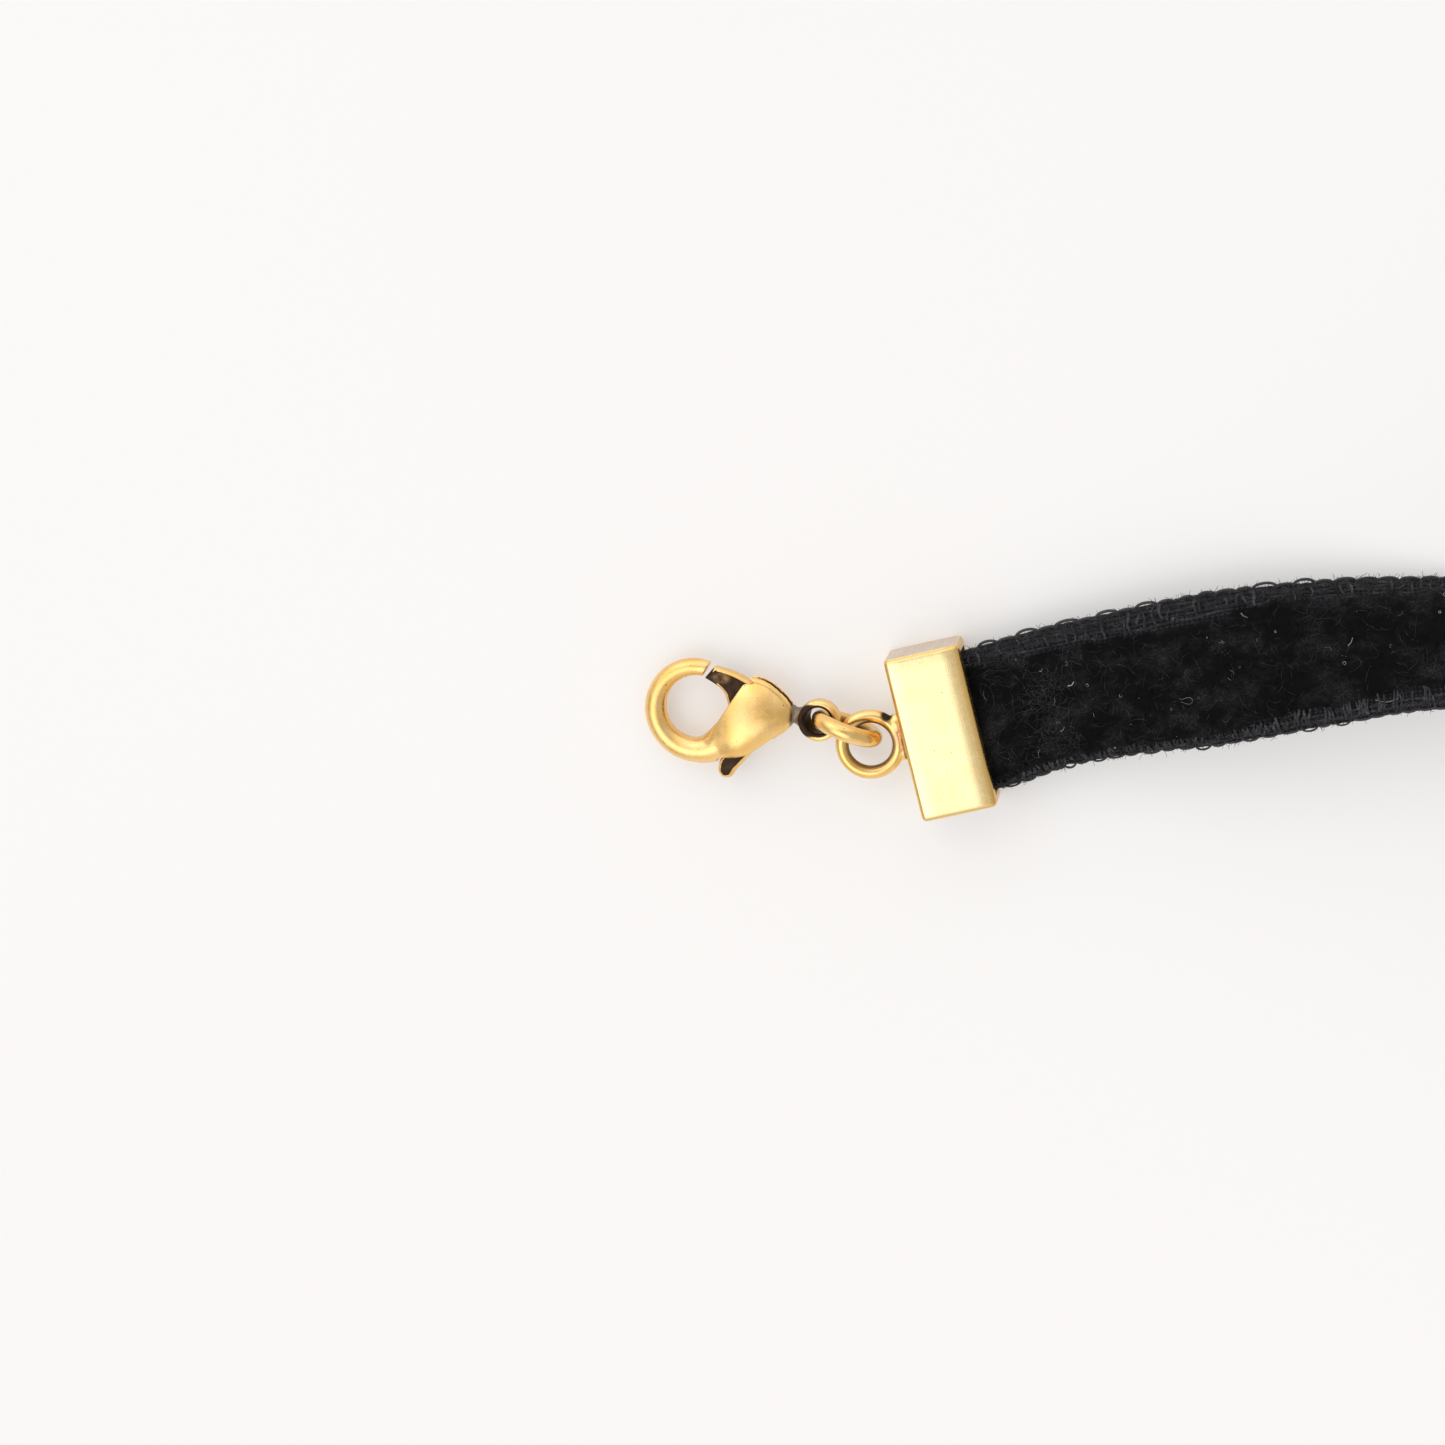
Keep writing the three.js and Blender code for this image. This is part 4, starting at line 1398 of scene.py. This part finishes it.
def turned(points, degrees, centre):
    """An outline turned about a point."""
    a = math.radians(degrees)
    c = np.asarray(centre)
    m = np.array(((math.cos(a), math.sin(a)), (-math.sin(a), math.cos(a))))
    return (np.asarray(points) - c) @ m + c


def clasp_casting():
    """Hook, bulb, neck and eye in one piece, with room for the lever all through its travel."""
    obj = new_object("clasp_casting", *hook_solid())
    boolean(obj, "UNION", bulb_solid())
    boolean(obj, "DIFFERENCE", prism(MOUTH, 6))
    boolean(obj, "UNION", neck_solid())
    boolean(obj, "DIFFERENCE", cylinder(0.98, 3.3, (*EYE_AT, 0), 72))
    boolean(obj, "UNION", eye_solid())
    boolean(obj, "DIFFERENCE", prism(SEAM, SEAM_HEIGHT), prism(SPRING_POCKET, LEVER_ROOM))
    outline = lever_outline(24, 26)
    for degrees in np.linspace(0, OPEN_ANGLE, 5):
        boolean(obj, "DIFFERENCE", prism(turned(outline, degrees, PIVOT), LEVER_ROOM, 0.14))
    boolean(obj, "DIFFERENCE", cylinder(0.5, 2.3, (*PIVOT, 0)))
    remesh(obj, CASTING_VOXEL, 6, 0.55)
    co = coords(obj)
    # The faint unevenness of a tumbled casting.
    wave = lattice_noise(co[:, 0] / 1.6, co[:, 1] / 1.4, 61)
    wave += lattice_noise(co[:, 1] / 1.5, co[:, 2] / 1.5, 62)
    set_coords(obj, co + normals(obj) * (0.010 * wave)[:, None])
    eye = np.linalg.norm(co[:, :2] - EYE_AT, axis=1)
    # Dark patina inside the eye's hole, and painted shade that reaches further out over the left of
    # its rim.
    left = 0.30 * smoothstep(0.1, 1.1, EYE_AT[0] - co[:, 0])
    eye_patina_and_shade = 1 - smoothstep(1.08 + left, 1.20 + left, eye)
    rough = 0.12 * lattice_noise(co[:, 1] / 0.4, co[:, 2] / 0.4, 63)
    grey = smoothstep(-1.98, -1.72, co[:, 0] + rough)
    grey = grey * (1 - smoothstep(-0.95, -0.45, co[:, 0] + rough)) * (eye > 1.0)
    slot = (np.abs(co[:, 2]) < 0.69) * smoothstep(0.25, 0.5, bulb_depth(co))
    dark = np.maximum(eye_patina_and_shade, slot)
    set_vector(obj, "stain_and_shade", np.stack([dark, 0 * dark, grey * (1 - dark)], -1))
    shade_recesses(obj, 1.6)
    return obj


def bulb_depth(co):
    """How far points lie inside the bulb's outline, in millimetres along y."""
    x, low, high, _ = spline(BULB_SECTIONS, 90).T
    inside = (co[:, 0] > x[0]) & (co[:, 0] < x[-1])
    bottom = np.interp(co[:, 0], x, low)
    top = np.interp(co[:, 0], x, high)
    return np.where(inside, np.minimum(co[:, 1] - bottom, top - co[:, 1]), 0)


def inset(points, by):
    """An outline moved inwards, for outlines that run clockwise or anticlockwise."""
    p = np.asarray(points, float)
    out = right_of(np.roll(p, -1, 0) - np.roll(p, 1, 0))
    return p - math.copysign(by, double_area(p)) * out


def lever():
    """The sprung gate with its thumb tab: dark flats between rubbed, rounded edges."""
    thick, bevel = LEVER_THICKNESS, 0.3
    outline = lever_outline()
    levels = []
    for side in (-1, 1):
        for a in np.radians(np.linspace(90, 0, 6) if side < 0 else np.linspace(0, 90, 6)):
            z = side * (thick / 2 - bevel + bevel * math.sin(a))
            ring = inset(outline, bevel * (1 - math.cos(a)))
            levels.append(np.column_stack([ring, np.full(len(ring), z)]))
    obj = new_object("clasp_lever", *loft_rings(levels))
    remesh(obj, LEVER_VOXEL, 2, 0.5)
    boolean(obj, "DIFFERENCE", cylinder(0.5, 3, (*PIVOT, 0)))
    remesh(obj, LEVER_VOXEL, 1, 0.5)
    co = coords(obj)
    depth = thick / 2 - np.abs(co[:, 2])
    rim_gold = smoothstep(0.002, 0.03, depth)
    tip = smoothstep(-7.45, -7.05, co[:, 0] + 0.25 * (co[:, 1] - 3.0))
    rim_gold = rim_gold * np.where(co[:, 1] > 1.0, tip, 1.0)
    middle = np.linalg.norm((co[:, :2] - (-6.75, 2.75)) / (0.7, 0.4), axis=1)
    set_float(obj, "rim", rim_gold)
    set_float(obj, "rub", 1 - smoothstep(0.3, 1.2, middle))
    return obj


place_piece(clasp_casting(), CLASP, "clasp", GOLD_CAST, ["clasp_body"])
place_piece(lever(), CLASP, "trigger", LEVER_METAL, ["clasp_trigger"])

for node, material in (
    ("clasp_rivet", STEEL),
    ("clasp_spring", STEEL),
    ("adhesive_a", GLUE),
    ("adhesive_b", GLUE),
):
    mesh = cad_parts[node].data
    mesh.materials.clear()
    mesh.materials.append(material)


# ---------- table and light ----------
def make_stage():
    bpy.ops.mesh.primitive_plane_add(size=3.0, location=(0, 0, -0.00002))
    floor = bpy.context.object
    floor.name = "table_top"
    floor.data.materials.append(table_finish())


# The room as a white tent: an even dome, a bright softbox over the left, paler walls at the left
# and the back, and a faint one in front. Each lobe is a direction, the half angles in degrees where
# it has faded out and where it is full, and what it adds.
DOME = 0.60
LOBES = (
    ((-0.38, -0.34, 0.86), 33, 13, 1.25),
    ((-0.60, 0.45, 0.66), 34, 12, 0.70),
    ((-0.20, 0.95, 0.25), 55, 20, 0.75),
    ((0.10, -1.0, 0.35), 45, 15, 0.30),
)
ROOM_TINT = (1.0, 0.99, 0.98, 1)


def make_light():
    world = bpy.data.worlds.new("room")
    n = Nodes(world, "Background")
    way = n.add("TexCoord").outputs["Generated"]
    total = DOME
    for direction, faint, full, power in LOBES:
        dot = n.add("VectorMath", operation="DOT_PRODUCT")
        n.put(way, dot.inputs[0])
        n.put(Vector(direction).normalized(), dot.inputs[1])
        edges = (math.cos(math.radians(angle)) for angle in (faint, full))
        total = n.math("ADD", n.ramp(dot.outputs["Value"], *edges, 0.0, power), total)
    n.set("Color", ROOM_TINT)
    n.set("Strength", total)
    bpy.context.scene.world = world
    bpy.context.scene.view_settings.view_transform = "Standard"


make_stage()
make_light()
